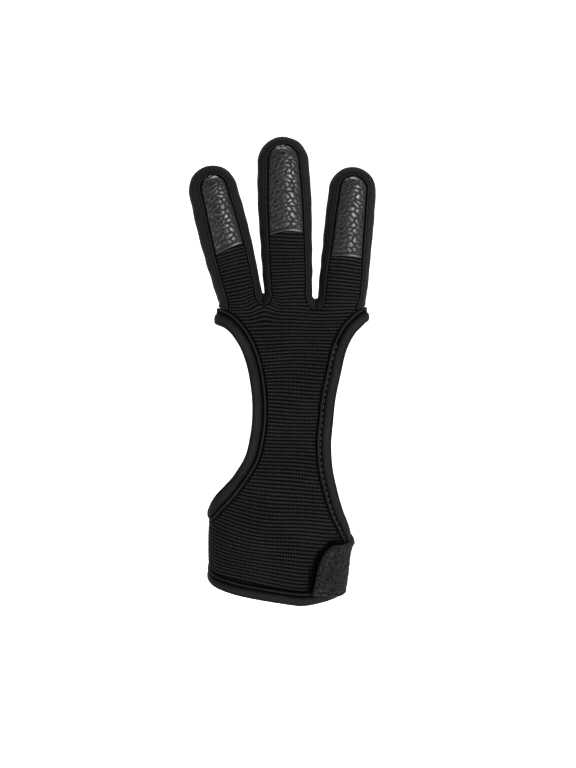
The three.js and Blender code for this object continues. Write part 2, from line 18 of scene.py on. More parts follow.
import bpy
import numpy as np
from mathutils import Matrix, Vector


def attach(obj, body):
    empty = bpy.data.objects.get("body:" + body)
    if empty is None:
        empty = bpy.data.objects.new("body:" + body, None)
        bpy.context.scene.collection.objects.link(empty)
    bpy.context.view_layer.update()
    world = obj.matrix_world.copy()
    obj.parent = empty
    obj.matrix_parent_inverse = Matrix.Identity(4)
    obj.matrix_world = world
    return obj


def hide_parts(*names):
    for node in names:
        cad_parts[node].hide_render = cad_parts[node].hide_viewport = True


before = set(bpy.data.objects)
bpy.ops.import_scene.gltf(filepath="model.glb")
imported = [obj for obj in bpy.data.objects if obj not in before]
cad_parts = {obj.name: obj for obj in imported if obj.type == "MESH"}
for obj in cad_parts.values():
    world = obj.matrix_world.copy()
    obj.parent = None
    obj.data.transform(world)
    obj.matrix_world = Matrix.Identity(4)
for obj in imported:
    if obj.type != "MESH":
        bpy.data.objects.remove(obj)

Array = np.ndarray
Triple = tuple[float, float, float]
Socket = bpy.types.NodeSocket
MILLIMETRE = 0.001
QUARTER = np.pi / 2
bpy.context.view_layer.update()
LOG = logging.getLogger("archery_glove")


class Face(Enum):
    """The half of the hand that a form lies on; its value is the sign of Y there."""

    PALM = -1
    BACK = 1


class Slot(Enum):
    """The record's material slots."""

    RIBBED = "ribbed_cloth"
    SMOOTH = "smooth_cloth"
    LEATHER = "leather"
    LOOP = "loop_cloth"


# Small sums

def mix(start: Array, end: Array, share: Array) -> Array:
    """The value at a share of the way from start to end."""
    return start + (end - start) * share


def smooth(share: Array) -> Array:
    """An S-shaped rise: three squares less two cubes of the share, held between 0 and 1."""
    held = np.clip(share, 0, 1)
    return held * held * (3 - 2 * held)


def bump(place: Array, middle: float, width: float) -> Array:
    """A bell curve of height 1: e to the minus square of the distance over the width."""
    return np.exp(-(((place - middle) / width) ** 2))


def unit(vectors: Array) -> Array:
    """The vectors divided by their lengths."""
    return vectors / np.maximum(np.linalg.norm(vectors, axis=-1, keepdims=True), 1e-12)


def lengths_along(grid: Array, axis: int) -> Array:
    """Distances run along one axis of a grid of points, from 0 at its first row.

    Args:
        grid: Points, rows by columns by 3.
        axis: 0 to run down the rows, 1 to run along the columns.

    Returns:
        The running sum of the steps between neighbours, one value a point.
    """
    steps = np.linalg.norm(np.diff(grid, axis=axis), axis=-1)
    start = np.zeros_like(np.take(steps, [0], axis=axis))
    return np.concatenate([start, np.cumsum(steps, axis=axis)], axis=axis)


def ripples(along: Array, across: Array, length: float, seed: int) -> Array:
    """A soft unevenness between about -1 and 1: five sine waves in seeded directions.

    Args:
        along: First place in millimetres.
        across: Second place in millimetres.
        length: The middle wavelength in millimetres.
        seed: The seed of the directions, phases and wavelengths.

    Returns:
        The waves' sum over two.
    """
    rng = np.random.default_rng(seed)
    total = np.zeros(np.broadcast(along, across).shape)
    for _ in range(5):
        turn, phase, size = rng.random(3) * (2 * np.pi, 2 * np.pi, 1) + (0, 0, 0.6)
        reach = 2 * np.pi / (length * size)
        total += np.sin(reach * (along * np.cos(turn) + across * np.sin(turn)) + phase)
    return total / 2


@dataclass(frozen=True)
class Curve:
    """A smooth curve through places and their values."""

    places: tuple[float, ...]
    values: tuple[float, ...]

    def at(self, place: Array) -> Array:
        """The curve's value at each place, on cubic stretches between the given places.

        A stretch has the values at its two ends, and at each end the slope of the line between
        that end's two neighbours. Beyond the ends the curve is level.

        Args:
            place: Where to read the curve.

        Returns:
            The values, in the shape of place.
        """
        places, values = np.array(self.places), np.array(self.values)
        last = len(places) - 1
        index = np.arange(last + 1)
        before, after = np.maximum(index - 1, 0), np.minimum(index + 1, last)
        slopes = (values[after] - values[before]) / (places[after] - places[before])
        x = np.clip(place, places[0], places[last])
        i = np.clip(np.searchsorted(places, x, side="right") - 1, 0, last - 1)
        span = places[i + 1] - places[i]
        t = (x - places[i]) / span
        start = values[i] * (1 + 2 * t) * (1 - t) ** 2 + span * slopes[i] * t * (1 - t) ** 2
        end = values[i + 1] * t * t * (3 - 2 * t) - span * slopes[i + 1] * t * t * (1 - t)
        return start + end


# The hand and its openings

@dataclass(frozen=True)
class Crotch:
    """Where two fingers part: its place across, the seam's rise and the web's height, in mm."""

    across: float
    rise: float
    web: float


@dataclass(frozen=True)
class Hand:
    """The oval tube that the glove is laid on. Lengths are in mm, the section tables in shares."""

    palm_height: float = 121.5
    palm_width: float = 79.0
    wrist_depth: float = 41.0
    levels: tuple[float, ...] = (0.0, 0.09, 0.17, 0.24, 0.37, 0.53, 0.7, 0.86, 0.95, 1.0)
    shift: tuple[float, ...] = (0, 0.006, 0.0135, 0.036, 0.054, 0.068, 0.088, 0.099, 0.101, 0.1)
    width: tuple[float, ...] = (0.718, 0.742, 0.757, 0.79, 0.87, 0.975, 0.985, 0.9, 0.85, 0.835)
    depth: tuple[float, ...] = (1, 1, 1, 0.98, 0.9, 0.8, 0.71, 0.625, 0.565, 0.52)
    fullness: tuple[float, ...] = (2.7, 2.7, 2.6, 2.5, 2.3, 2.3, 2.4, 2.6, 2.8, 2.8)
    roll: tuple[float, ...] = (-9, -9, -8, -7, -5, -3, -1.5, 0, 0, 0)
    pitch: tuple[float, ...] = (12, 12, 12, 11.5, 9, 5, 2, 0, 0, 0)
    rise: tuple[float, ...] = (2.8, 2.5, 1.4, 0.5, 0, 0, 0, 0, 0, 0)
    rise_from: float = 0.35
    rise_span: float = 0.6
    crotches: tuple[Crotch, ...] = (Crotch(-4.25, 2.2, 5.2), Crotch(18.85, 0.0, 5.2))
    dent: float = 1.5
    dent_width: float = 5.0
    dent_reach: float = 14.0
    crotch_rise_width: float = 4.0

    def column(self, values: tuple[float, ...], height: Array) -> Array:
        """One column of the section tables, read at heights in mm."""
        return Curve(self.levels, values).at(height / self.palm_height)

    def face(self, angle: Array, height: Array) -> Array:
        """Points of the tube's face.

        Across and depth are the sine and cosine of the angle, times half the width and depth,
        over the n-th root of the sum of their n-th powers. The height is tilted by the roll
        across the hand and by the pitch through it, raised on the thumb side, and the face is
        dented below each crotch.

        Args:
            angle: Angles round the tube, in radians.
            height: Heights up the tube, in mm.

        Returns:
            Points in mm, with a last axis of three.
        """
        angle, height = np.broadcast_arrays(np.asarray(angle, float), np.asarray(height, float))
        half_width = self.column(self.width, height) * self.palm_width / 2
        half_depth = self.column(self.depth, height) * self.wrist_depth / 2
        n = self.column(self.fullness, height)
        sine, cosine = np.sin(angle), np.cos(angle)
        scale = (np.abs(sine) ** n + np.abs(cosine) ** n) ** (-1 / n)
        across = half_width * sine * scale
        x = self.column(self.shift, height) * self.palm_width + across
        y = -half_depth * cosine * scale
        z = (
            height
            + across * np.tan(np.radians(self.column(self.roll, height)))
            + y * np.tan(np.radians(self.column(self.pitch, height)))
            + self.column(self.rise, height)
            * smooth((across / half_width - self.rise_from) / self.rise_span)
        )
        fade = smooth(1 - (self.palm_height - height) / self.dent_reach)
        for crotch in self.crotches:
            y = y - np.sign(y) * self.dent * fade * bump(x, crotch.across, self.dent_width)
        return np.stack([x, y, z], axis=-1)

    def outwards(self, angle: Array, height: Array) -> Array:
        """The face's outward directions: across the step round the tube and the step up it.

        Args:
            angle: Angles round the tube, in radians.
            height: Heights up it, in mm.

        Returns:
            Unit vectors.
        """
        around = self.face(angle + 0.02, height) - self.face(angle - 0.02, height)
        up = self.face(angle, height + 1) - self.face(angle, height - 1)
        return unit(np.cross(around, up))

    def lifted(self, angle: Array, height: Array, lift: Array) -> Array:
        """Points of the face, moved outwards by a lift in mm."""
        angle, height, lift = np.broadcast_arrays(*map(np.asarray, (angle, height, lift)))
        return self.face(angle, height) + self.outwards(angle, height) * lift[..., None]

    def angle_across(self, share: Array, height: Array) -> Array:
        """The angle of the palm's point at a share of the half width: the oval turned round.

        Args:
            share: Shares of the half width, minus to the little finger.
            height: Heights up the tube, in mm.

        Returns:
            Angles in radians.
        """
        n = self.column(self.fullness, height)
        power = np.minimum(np.abs(share), 1 - 1e-9) ** n
        return np.sign(share) * np.arctan((power / (1 - power)) ** (1 / n))

    def first_row(self, face: Face, angle: Array, lift: Array) -> Array:
        """Points of the fingers' first row, which rises in a bell curve at each crotch.

        Args:
            face: The palm's or the back's side.
            angle: Angles, folded to the palm.
            lift: How far the points stand outwards, in mm.

        Returns:
            Points in mm.
        """
        turned = angle if face is Face.PALM else np.pi - angle
        points = self.lifted(turned, self.palm_height, lift)
        for crotch in self.crotches:
            rise = crotch.rise * bump(points[..., 0], crotch.across, self.crotch_rise_width)
            points[..., 2] += rise
        return points


@dataclass(frozen=True)
class Opening:
    """A side opening of the hand. Side is -1 for the little finger and 1 for the thumb."""

    hand: Hand
    side: int
    bottom: float
    top: float
    shares: tuple[float, ...]
    reaches: tuple[float, ...]
    back_drop: float = 8.5

    def edge(self, turn: Array) -> tuple[Array, Array]:
        """The opening's edge: the reach into the palm, read at half of one plus the cosine.

        Args:
            turn: From 0 at the top through the palm side to half a turn at the bottom; minus
                values run down the back, where the edge sits lower by up to back_drop.

        Returns:
            Angles and heights on the hand's tube.
        """
        share = (1 + np.cos(turn)) / 2
        drop = np.where(np.sin(turn) < 0, self.back_drop * np.sin(turn) ** 2 * (1 - share), 0)
        height = mix(self.bottom, self.top, share) - drop
        reach = np.maximum(Curve(self.shares, self.reaches).at(share), 0)
        palm = self.hand.angle_across(self.side * (1 - reach), height)
        return np.where(np.sin(turn) >= 0, palm, self.side * np.pi - palm), height

    def inset(self, turn: Array, inset: Array) -> tuple[Array, Array]:
        """The edge moved away from the opening along the hand's face, by an inset in mm.

        The move lies in the face, across the edge: the normal times the edge's direction. It
        is turned into steps of angle and height by the two directions of the face there.

        Args:
            turn: As for edge.
            inset: Distances in mm.

        Returns:
            Angles and heights on the hand's tube.
        """
        turn, inset = np.broadcast_arrays(np.asarray(turn, float), np.asarray(inset, float))
        step = 0.02
        angle, height = self.edge(turn)
        along = self.hand.face(*self.edge(turn + step)) - self.hand.face(*self.edge(turn - step))
        around = self.hand.face(angle + step, height) - self.hand.face(angle - step, height)
        around = around / (2 * step)
        up = (self.hand.face(angle, height + 1) - self.hand.face(angle, height - 1)) / 2
        away = unit(np.cross(np.cross(around, up), along)) * (-self.side * inset)[..., None]
        aa, ah, hh = (np.sum(p * q, -1) for p, q in ((around, around), (around, up), (up, up)))
        ra, rh = np.sum(away * around, -1), np.sum(away * up, -1)
        room = aa * hh - ah * ah
        return angle + (ra * hh - rh * ah) / room, height + (rh * aa - ra * ah) / room

    def turn_at(self, face: Face, height: float, inset: float) -> float:
        """The turn at which the inset edge comes down to a height, found by halving.

        Args:
            face: The palm's or the back's side.
            height: The height, in mm.
            inset: The inset from the edge, in mm.

        Returns:
            The turn, minus on the back.
        """
        low, high = 0.0, QUARTER
        for _ in range(40):
            middle = (low + high) / 2
            if float(self.inset(-face.value * middle, inset)[1]) > height:
                low = middle
            else:
                high = middle
        return -face.value * low


# The fingers

@dataclass(frozen=True)
class Finger:
    """One finger of the glove, in mm. Ends are its side to the little finger, then the thumb's.

    Pad is the leather's length below the round end's middle, border the side strip's width
    seen from the palm and top the same at the tip. Outer is the end beside a side opening.
    """

    name: str
    base: tuple[float, float]
    tip: tuple[float, float]
    radius: float
    pad: float
    border: tuple[float, float]
    top: float
    widths: tuple[float, ...]
    outer: int | None
    crotches: tuple[int | None, int | None]
    hem_bend: tuple[float, float, float]

    @property
    def length(self) -> float:
        """The distance from the first row to the round end's middle."""
        return float(np.hypot(self.tip[0] - self.base[0], self.tip[1] - self.base[1]))

    @property
    def along(self) -> Array:
        """The finger's direction in the plane across the hand."""
        return (np.array(self.tip) - np.array(self.base)) / self.length

    @property
    def lateral(self) -> Array:
        """The direction across the finger, to the thumb's side."""
        return np.array([self.along[1], -self.along[0]])

    @property
    def pad_share(self) -> float:
        """The share of the finger at which the leather begins."""
        return 1 - self.pad / self.length

    def hem_share(self, across: Array) -> Array:
        """The share at which the leather begins, along a parabola through the hem's bends at
        the little finger's side, the middle and the thumb's side.

        Args:
            across: Places from 0 to 1 across the finger.

        Returns:
            Shares of the finger's length.
        """
        left, middle, right = self.hem_bend
        bend = left * (1 - across) * (1 - 2 * across) + 4 * middle * across * (1 - across)
        bend = bend + right * across * (2 * across - 1)
        return self.pad_share + bend / self.length


@dataclass(frozen=True)
class Form:
    """The whole glove's form: the hand, its openings and its fingers. Lengths are in mm."""

    hand: Hand
    pinky: Opening
    thumb: Opening
    fingers: tuple[Finger, ...]
    finger_depth: float = 20.4
    seam_depth: float = 0.8
    tip_drop: float = 0.22
    base_blend: float = 14.0
    crotch_height: float = 7.5
    tape_width: float = 6.3
    tape_gap: float = 0.45
    seam_gap: float = 0.32
    pad_gap: float = 0.4
    web_gap: float = 0.5
    panel_wall: float = 1.8
    strip_wall: float = 1.6
    pad_wall: float = 1.6
    hem_width: float = 5.6
    hem_gap: float = 0.48
    slit_gap: float = 1.0
    finger_taper: Curve = Curve((0, 0.35, 0.7, 1), (1, 0.98, 0.94, 0.88))
    outer_strip: Curve = Curve((0, 0.35, 0.6, 0.85, 1), (0.68, 0.78, 0.9, 1, 1))
    inner_strip: Curve = Curve((0, 0.35, 0.6, 0.85, 1), (0.68, 0.7, 0.82, 0.95, 1))

    @property
    def panel_inset(self) -> float:
        """The distance from a side opening's edge to the panel's edge."""
        return self.tape_width + self.tape_gap

    def beside(self, finger: Finger) -> Opening:
        """The side opening next to an outer finger."""
        return self.pinky if finger.outer == 0 else self.thumb

    def folded(self, face: Face, angle: Array) -> Array:
        """An angle on the back as the palm's angle in front of it; the palm's own stay."""
        turned = angle if face is Face.PALM else np.pi - angle
        return np.arctan2(np.sin(turned), np.cos(turned))

    def edge_at(self, opening: Opening, face: Face, heights: Array) -> Array:
        """The angle of the panel's edge beside an opening and below it, at given heights.

        The inset edge is followed from the fingers' first row to the opening's bottom and read
        at each height; below it the edge is the side seam.

        Args:
            opening: The side opening.
            face: The palm's or the back's panel.
            heights: Heights up the tube, in mm.

        Returns:
            Angles, folded to the palm.
        """
        first = opening.turn_at(face, self.hand.palm_height, self.panel_inset)
        steps = np.linspace(0, 1, 1600)
        turns = mix(first, -face.value * np.pi, steps**0.8)
        angle, height = opening.inset(turns, self.panel_inset)
        height = np.minimum.accumulate(height) - self.seam_gap / 2 * steps
        slack = self.seam_gap if opening.side < 0 else self.slit_gap
        seam = opening.side * (QUARTER - slack / self.hand.wrist_depth)
        angle = self.folded(face, angle)
        beside = np.interp(heights, height[::-1], angle[::-1])
        return np.where(heights < height[-1], seam, opening.side * np.minimum(
            opening.side * beside, opening.side * seam))

    def base_angle(self, finger: Finger, face: Face, end: int) -> float:
        """The angle on the first row at one end of a finger: a crotch, or the panel's edge.

        Args:
            finger: The finger.
            face: The palm's or the back's side.
            end: 0 to the little finger's side, 1 to the thumb's.

        Returns:
            The angle, folded to the palm.
        """
        height = self.hand.palm_height
        if finger.outer == end:
            return float(self.edge_at(self.beside(finger), face, np.array([height]))[0])
        crotch = self.hand.crotches[finger.crotches[end]]
        shift = float(self.hand.column(self.hand.shift, height)) * self.hand.palm_width
        half = float(self.hand.column(self.hand.width, height)) * self.hand.palm_width / 2
        return float(self.hand.angle_across(np.array((crotch.across - shift) / half), height))

    def outline(self, finger: Finger, end: int, share: Array, strip: float, gap: float,
                lowest: tuple[Array, Array]) -> tuple[Array, Array]:
        """A finger's outline in the plane across the hand, moved in by the strip and a gap.

        The limb's half width is a share of the radius; less the strip and the gap it is laid
        off across the finger. Below the crotch's height the line runs on a quarter oval, or an
        S at an outer end, to the lowest point.

        Args:
            finger: The finger.
            end: 0 to the little finger's side, 1 to the thumb's.
            share: Places along the finger.
            strip: The side strip's width there, in mm.
            gap: A clearance in mm.
            lowest: X and Z of the line's lower end.

        Returns:
            X and Z in mm.
        """
        sign = -1 if end == 0 else 1
        outer = finger.outer == end
        border = self.outer_strip if outer else self.inner_strip
        width = Curve((0, 0.25, 0.5, 0.75, 1), finger.widths)

        def limb(t: Array) -> tuple[Array, Array]:
            """The straight limb's edge at a share.

            Args:
                t: Shares of the limb's length.

            Returns:
                X and Z in mm.
            """
            offset = sign * (width.at(t) * finger.radius - gap - border.at(t) * strip)
            return tuple(
                finger.base[k] + finger.along[k] * finger.length * t + finger.lateral[k] * offset
                for k in (0, 1)
            )

        crotch_share = self.crotch_height / finger.length
        t = np.clip(share / crotch_share, 0, 1)
        here, top = limb(share), limb(np.array(crotch_share))
        ease = smooth(t) if outer else np.sqrt(np.maximum(1 - (1 - t) ** 2, 0))
        low_x = mix(lowest[0], here[0] if outer else top[0], ease)
        low_z = mix(lowest[1], top[1], t)
        above = share >= crotch_share
        return np.where(above, here[0], low_x), np.where(above, here[1], low_z)

    def finger_face(self, finger: Finger, face: Face, share: Array, tip: Array, across: Array,
                    side_gap: float = 0.0, base_gap: float = 0.0) -> Array:
        """Points of a finger's palm or back face.

        Along the limb they lie between the two seams; past the round end's middle on half
        circles. The depth is largest in the middle and falls with the square of the way to the
        seams and round the end. Within base_blend of the first row the form runs into the
        hand's.

        Args:
            finger: The finger.
            face: Palm or back.
            share: Places along the limb, 1 on the round end.
            tip: Angles round the end, in radians, 0 on the limb.
            across: 0 to 1 between the seams.
            side_gap: A clearance beside the seams, in mm.
            base_gap: A clearance above the first row, in mm.

        Returns:
            Points in mm.
        """
        places = (np.asarray(values, float) for values in (share, tip, across))
        share, tip, across = np.broadcast_arrays(*places)
        angles = [self.base_angle(finger, face, end) for end in (0, 1)]
        corners = [self.hand.first_row(face, np.array(angle), 0.0) for angle in angles]
        ends = [(corner[0], corner[2] + base_gap) for corner in corners]
        seams = [
            self.outline(finger, end, share, finger.border[end], side_gap, ends[end])
            for end in (0, 1)
        ]
        left, right = (finger.radius - width - side_gap for width in finger.border)
        out = np.cos(tip) * (2 * across - 1)
        reach = (left + right) / 2 * out + (right - left) / 2
        lift = (finger.radius - finger.top - side_gap) * np.sin(tip)
        on_tip = tip > 0
        x, z = (
            np.where(
                on_tip,
                finger.tip[k] + finger.lateral[k] * reach + finger.along[k] * lift,
                mix(seams[0][k], seams[1][k], across),
            )
            for k in (0, 1)
        )
        flat = 1 - (2 * across - 1) ** 2
        middle = np.where(on_tip, 1 - np.minimum(1, out**2 + np.sin(tip) ** 2), flat)
        depth = self.finger_taper.at(share) * self.finger_depth / 2
        drop = 1 - self.tip_drop * np.sin(tip) ** 2
        y = face.value * depth * drop * (self.seam_depth + (1 - self.seam_depth) * middle)
        rest = 1 - smooth(share * finger.length / self.base_blend)
        hand = self.hand.first_row(face, mix(angles[0], angles[1], across), 0.0)
        own = face.value * self.finger_depth / 2 * (self.seam_depth + (1 - self.seam_depth) * flat)
        x = x + rest * (hand[..., 0] - mix(ends[0][0], ends[1][0], across))
        y = y + rest * (hand[..., 1] - own)
        z = z + rest * (hand[..., 2] + base_gap - mix(ends[0][1], ends[1][1], across))
        return np.stack([x, y, z], axis=-1)

    def finger_inside(self, outer: Array, finger: Finger, face: Face, share: Array,
                      across: Array, wall: float) -> Array:
        """The inner face of a finger's sheet: straight through the hand, and along the hand's
        own outward direction at the first row.

        Args:
            outer: The outer face.
            finger: The finger.
            face: The palm's or the back's side.
            share: Places along the limb.
            across: 0 to 1 between the seams.
            wall: The sheet's thickness, in mm.

        Returns:
            Points in mm.
        """
        angles = [self.base_angle(finger, face, end) for end in (0, 1)]
        angle = mix(angles[0], angles[1], across)
        step = self.hand.first_row(face, angle, -wall) - self.hand.first_row(face, angle, 0.0)
        rest = (1 - smooth(share * finger.length / self.base_blend))[..., None]
        straight = np.array([0.0, -face.value * wall, 0.0])
        return outer + straight * (1 - rest) + step * rest


HAND = Hand()
FORM = Form(
    hand=HAND,
    pinky=Opening(
        HAND, -1, 31.5, 117.0,
        (0, 0.03, 0.08, 0.14, 0.22, 0.32, 0.42, 0.52, 0.64, 0.76, 0.86, 0.93, 0.975, 1),
        (0, 0.03, 0.105, 0.22, 0.372, 0.529, 0.587, 0.598, 0.566, 0.487, 0.37, 0.238, 0.115, 0),
    ),
    thumb=Opening(
        HAND, 1, 27.5, 117.5,
        (0, 0.03, 0.08, 0.14, 0.22, 0.32, 0.42, 0.52, 0.64, 0.76, 0.86, 0.93, 0.975, 1),
        (0, 0.03, 0.105, 0.21, 0.323, 0.435, 0.488, 0.495, 0.479, 0.404, 0.315, 0.2, 0.075, 0),
    ),
    fingers=(
        Finger("ring", (-13.15, 121.5), (-26.85, 175.4), 10.6, 27.3, (5.3, 4.1), 4.8,
               (0.88, 0.94, 1.01, 1.03, 1), 0, (None, 0), (-1.5, -0.2, 0.6)),
        Finger("middle", (6.65, 121.5), (4.05, 187.4), 11.2, 31.8, (4.4, 4.0), 3.8,
               (0.88, 0.95, 0.99, 1.035, 1), None, (0, 1), (-0.9, 0.7, -0.4)),
        Finger("index", (29.45, 121.5), (34.55, 175.0), 10.3, 29.8, (4.3, 3.9), 4.2,
               (1, 1.02, 1.01, 1.02, 1), 1, (1, None), (-0.3, 0.1, -0.1)),
    ),
)


# Meshes from grids

def quads_between(index: Array) -> Array:
    """The quads between neighbours in a grid of indices, one quad a row."""
    corners = (index[:-1, :-1], index[:-1, 1:], index[1:, 1:], index[1:, :-1])
    return np.stack([corner.ravel() for corner in corners], axis=-1)


def smooth_mesh(name: str, points: Array, faces: list[list[int]]) -> bpy.types.Mesh:
    """A smooth shaded mesh of points in metres.

    Args:
        name: The mesh's name.
        points: One point a row.
        faces: The point indices of each face.

    Returns:
        The new mesh.
    """
    mesh = bpy.data.meshes.new(name)
    mesh.from_pydata(points.tolist(), [], faces)
    mesh.polygons.foreach_set("use_smooth", np.ones(len(faces), bool))
    return mesh


def add_object(name: str, data: bpy.types.ID) -> bpy.types.Object:
    """Puts a mesh, a lamp or a camera into the scene as a new object.

    Args:
        name: The object's name.
        data: Its mesh, lamp or camera.

    Returns:
        The new object.
    """
    made = bpy.data.objects.new(name, data)
    bpy.context.scene.collection.objects.link(made)
    return made


@dataclass
class Shell:
    """Grids of points gathered into one closed mesh, with a cloth map and a relief.

    The map holds millimetres along and across the cloth; the relief is 0 in grooves and 1 on
    ridges, and drives the finishes. Most pieces paint light and shade into it too: low values
    are painted shade in grooves, creases and by seams, high ones painted highlights.
    """

    points: list[Array] = field(default_factory=list)
    maps: list[Array] = field(default_factory=list)
    reliefs: list[Array] = field(default_factory=list)
    quads: list[Array] = field(default_factory=list)
    count: int = 0

    def grid(self, points: Array, cloth: Array, relief: Array, turned: bool = False,
             ring_rows: bool = False, ring_columns: bool = False) -> Array:
        """Adds one grid of points as quads between neighbours.

        Args:
            points: Rows by columns by 3, in mm.
            cloth: Rows by columns by 2, in mm.
            relief: Rows by columns.
            turned: True to turn the quads' order round.
            ring_rows: True to join the last row to the first.
            ring_columns: True to join the last column to the first.

        Returns:
            The index of each point in the whole mesh, rows by columns.
        """
        rows, columns = points.shape[:2]
        index = self.count + np.arange(rows * columns).reshape(rows, columns)
        self.points.append(points.reshape(-1, 3))
        self.maps.append(np.broadcast_to(cloth, (rows, columns, 2)).reshape(-1, 2))
        self.reliefs.append(np.broadcast_to(relief, (rows, columns)).ravel())
        self.count += rows * columns
        joined = np.concatenate([index, index[:1]]) if ring_rows else index
        joined = np.concatenate([joined, joined[:, :1]], axis=1) if ring_columns else joined
        quads = quads_between(joined)
        self.quads.append(quads[:, ::-1] if turned else quads)
        return index

    def strip(self, a: Array, b: Array, c: Array, d: Array, turned: bool = False) -> None:
        """Adds quads from four arrays of indices, in their order or turned round."""
        order = (d, c, b, a) if turned else (a, b, c, d)
        self.quads.append(np.stack([corner.ravel() for corner in order], axis=-1))

    def rim(self, outer: Array, inner: Array) -> None:
        """Joins an outer edge to an inner one by a row of quads."""
        self.strip(outer[:-1], outer[1:], inner[1:], inner[:-1])

    def sheet(self, outer: Array, inner: Array, cloth: Array, relief: Array,
              rims: tuple[bool, bool, bool, bool], under: float = 0.4) -> None:
        """Adds an outer and an inner grid as one thick sheet.

        Args:
            outer: The outer face, rows by columns by 3.
            inner: The inner face in the same shape.
            cloth: The map of both.
            relief: The relief of the outer face.
            rims: Whether the first column, last column, first row and last row are closed.
            under: The relief of the inner face.
        """
        face = self.grid(outer, cloth, relief)
        lining = self.grid(inner, cloth, np.full(relief.shape, under), turned=True)
        if rims[0]:
            self.rim(face[:, 0], lining[:, 0])
        if rims[1]:
            self.rim(face[::-1, -1], lining[::-1, -1])
        if rims[2]:
            self.rim(face[0, ::-1], lining[0, ::-1])
        if rims[3]:
            self.rim(face[-1], lining[-1])

    def build(self, name: str) -> bpy.types.Object:
        """Joins equal points, turns the faces outwards and makes the mesh object.

        The sign of the volume, the sum of each quad's two triple products, says whether the
        faces point inwards.

        Args:
            name: The object's name.

        Returns:
            The new object, smooth shaded, with its cloth map and relief attribute.
        """
        points = np.concatenate(self.points)
        quads = np.concatenate(self.quads)
        _, first, where = np.unique(
            np.round(points / 1e-4).astype(np.int64), axis=0, return_index=True, return_inverse=True
        )
        quads, points = where.ravel()[quads], points[first]
        cloth, relief = np.concatenate(self.maps)[first], np.concatenate(self.reliefs)[first]
        a, b, c, d = (points[quads[:, k]] for k in range(4))
        volume = np.sum(a * (np.cross(b, c) + np.cross(c, d)))
        if volume < 0:
            quads = quads[:, ::-1]
        pinched = (quads == np.roll(quads, 1, axis=1)).any(axis=1)
        faces = quads[~pinched].tolist()
        narrowed = (list(dict.fromkeys(quad)) for quad in quads[pinched].tolist())
        faces += [face for face in narrowed if len(face) > 2]
        mesh = smooth_mesh(name, points * MILLIMETRE, faces)
        corners = np.zeros(len(mesh.loops), np.int32)
        mesh.loops.foreach_get("vertex_index", corners)
        layer = mesh.uv_layers.new(name="cloth")
        layer.data.foreach_set("uv", cloth[corners].reshape(-1).astype(np.float32))
        height = mesh.attributes.new("relief", "FLOAT", "POINT")
        height.data.foreach_set("value", relief.astype(np.float32))
        mesh.update()
        return add_object(name, mesh)


def outward(grid: Array, sign: float) -> Array:
    """Unit normals of a grid: the cross of its steps along the columns and the rows."""
    return unit(np.cross(np.gradient(grid, axis=1), np.gradient(grid, axis=0))) * sign


@dataclass(frozen=True)
class Padding:
    """The foam under a face, blown up by a cloth simulation while the border is held.

    The cloth is laid out larger than life, because its stiffness suits a cushion. Spacing is
    the distance between its points in mm, scale its metres a millimetre.
    """

    spacing: float = 0.9
    pressure: float = 4.0
    stiffness: float = 15.0
    frames: int = 20
    scale: float = 0.01

    def picks(self, face: Array, axis: int) -> Array:
        """The rows or columns of a face that carry the cloth's points.

        Args:
            face: The face's points.
            axis: 0 for rows, 1 for columns.

        Returns:
            Their indices.
        """
        length = float(np.mean(np.take(lengths_along(face, axis), -1, axis=axis)))
        count = max(5, int(round(length / self.spacing)))
        return np.unique(np.linspace(0, face.shape[axis] - 1, count).round().astype(int))

    def blown(self, coarse: Array, sign: float) -> Array:
        """The cloth's points after the last frame, in mm.

        Args:
            coarse: The points at rest, rows by columns by 3.
            sign: 1 where the columns' and the rows' steps cross outwards, or -1.

        Returns:
            The points in the same order.
        """
        scene = bpy.context.scene
        index = np.arange(coarse.shape[0] * coarse.shape[1]).reshape(coarse.shape[:2])
        quads = quads_between(index)[:, :: int(sign)]
        mesh = smooth_mesh("padding", coarse.reshape(-1, 3) * self.scale, quads.tolist())
        cloth = add_object("padding", mesh)
        held = cloth.vertex_groups.new(name="held")
        border = np.concatenate([index[0], index[-1], index[:, 0], index[:, -1]])
        held.add(border.tolist(), 1.0, "REPLACE")
        modifier = cloth.modifiers.new("cloth", "CLOTH")
        modifier.point_cache.frame_end = self.frames
        modifier.settings.vertex_group_mass = "held"
        modifier.settings.effector_weights.gravity = 0
        modifier.settings.tension_stiffness = self.stiffness
        modifier.settings.compression_stiffness = self.stiffness
        modifier.settings.use_pressure = True
        modifier.settings.uniform_pressure_force = self.pressure
        for frame_number in range(1, self.frames + 1):
            scene.frame_set(frame_number)
        final = cloth.evaluated_get(bpy.context.evaluated_depsgraph_get()).data
        points = np.empty(index.size * 3, np.float32)
        final.vertices.foreach_get("co", points)
        bpy.data.objects.remove(cloth)
        bpy.data.meshes.remove(mesh)
        scene.frame_set(1)
        return points.reshape(coarse.shape) / self.scale

    def rise(self, face: Array, sign: float, cap: float) -> Array:
        """How far the foam lifts each point of a face along its normal.

        The cloth's own lift is held under the cap by a hyperbolic tangent and read between its
        points along smooth curves.

        Args:
            face: The face's points, rows by columns by 3.
            sign: 1 where the columns' and the rows' steps cross outwards, or -1.
            cap: The most that a point may rise, in mm.

        Returns:
            The rise of every point of the face, in mm.
        """
        picks = [self.picks(face, axis) for axis in (0, 1)]
        coarse = face[np.ix_(*picks)]
        step = self.blown(coarse, sign) - coarse
        lift = np.sum(step * outward(coarse, sign), -1)
        LOG.info("padding: the cloth rose by %.2f mm at most", lift.max())
        lift = cap * np.tanh(np.maximum(lift, 0) / cap)
        down, over = (self.spread(pick, size) for pick, size in zip(picks, face.shape))
        return down.T @ lift @ over

    @staticmethod
    def spread(pick: Array, size: int) -> Array:
        """How much each picked line counts in every line of the face, along smooth curves."""
        lines = np.arange(size)
        return np.stack([Curve(tuple(pick), tuple(row)).at(lines) for row in np.eye(len(pick))])


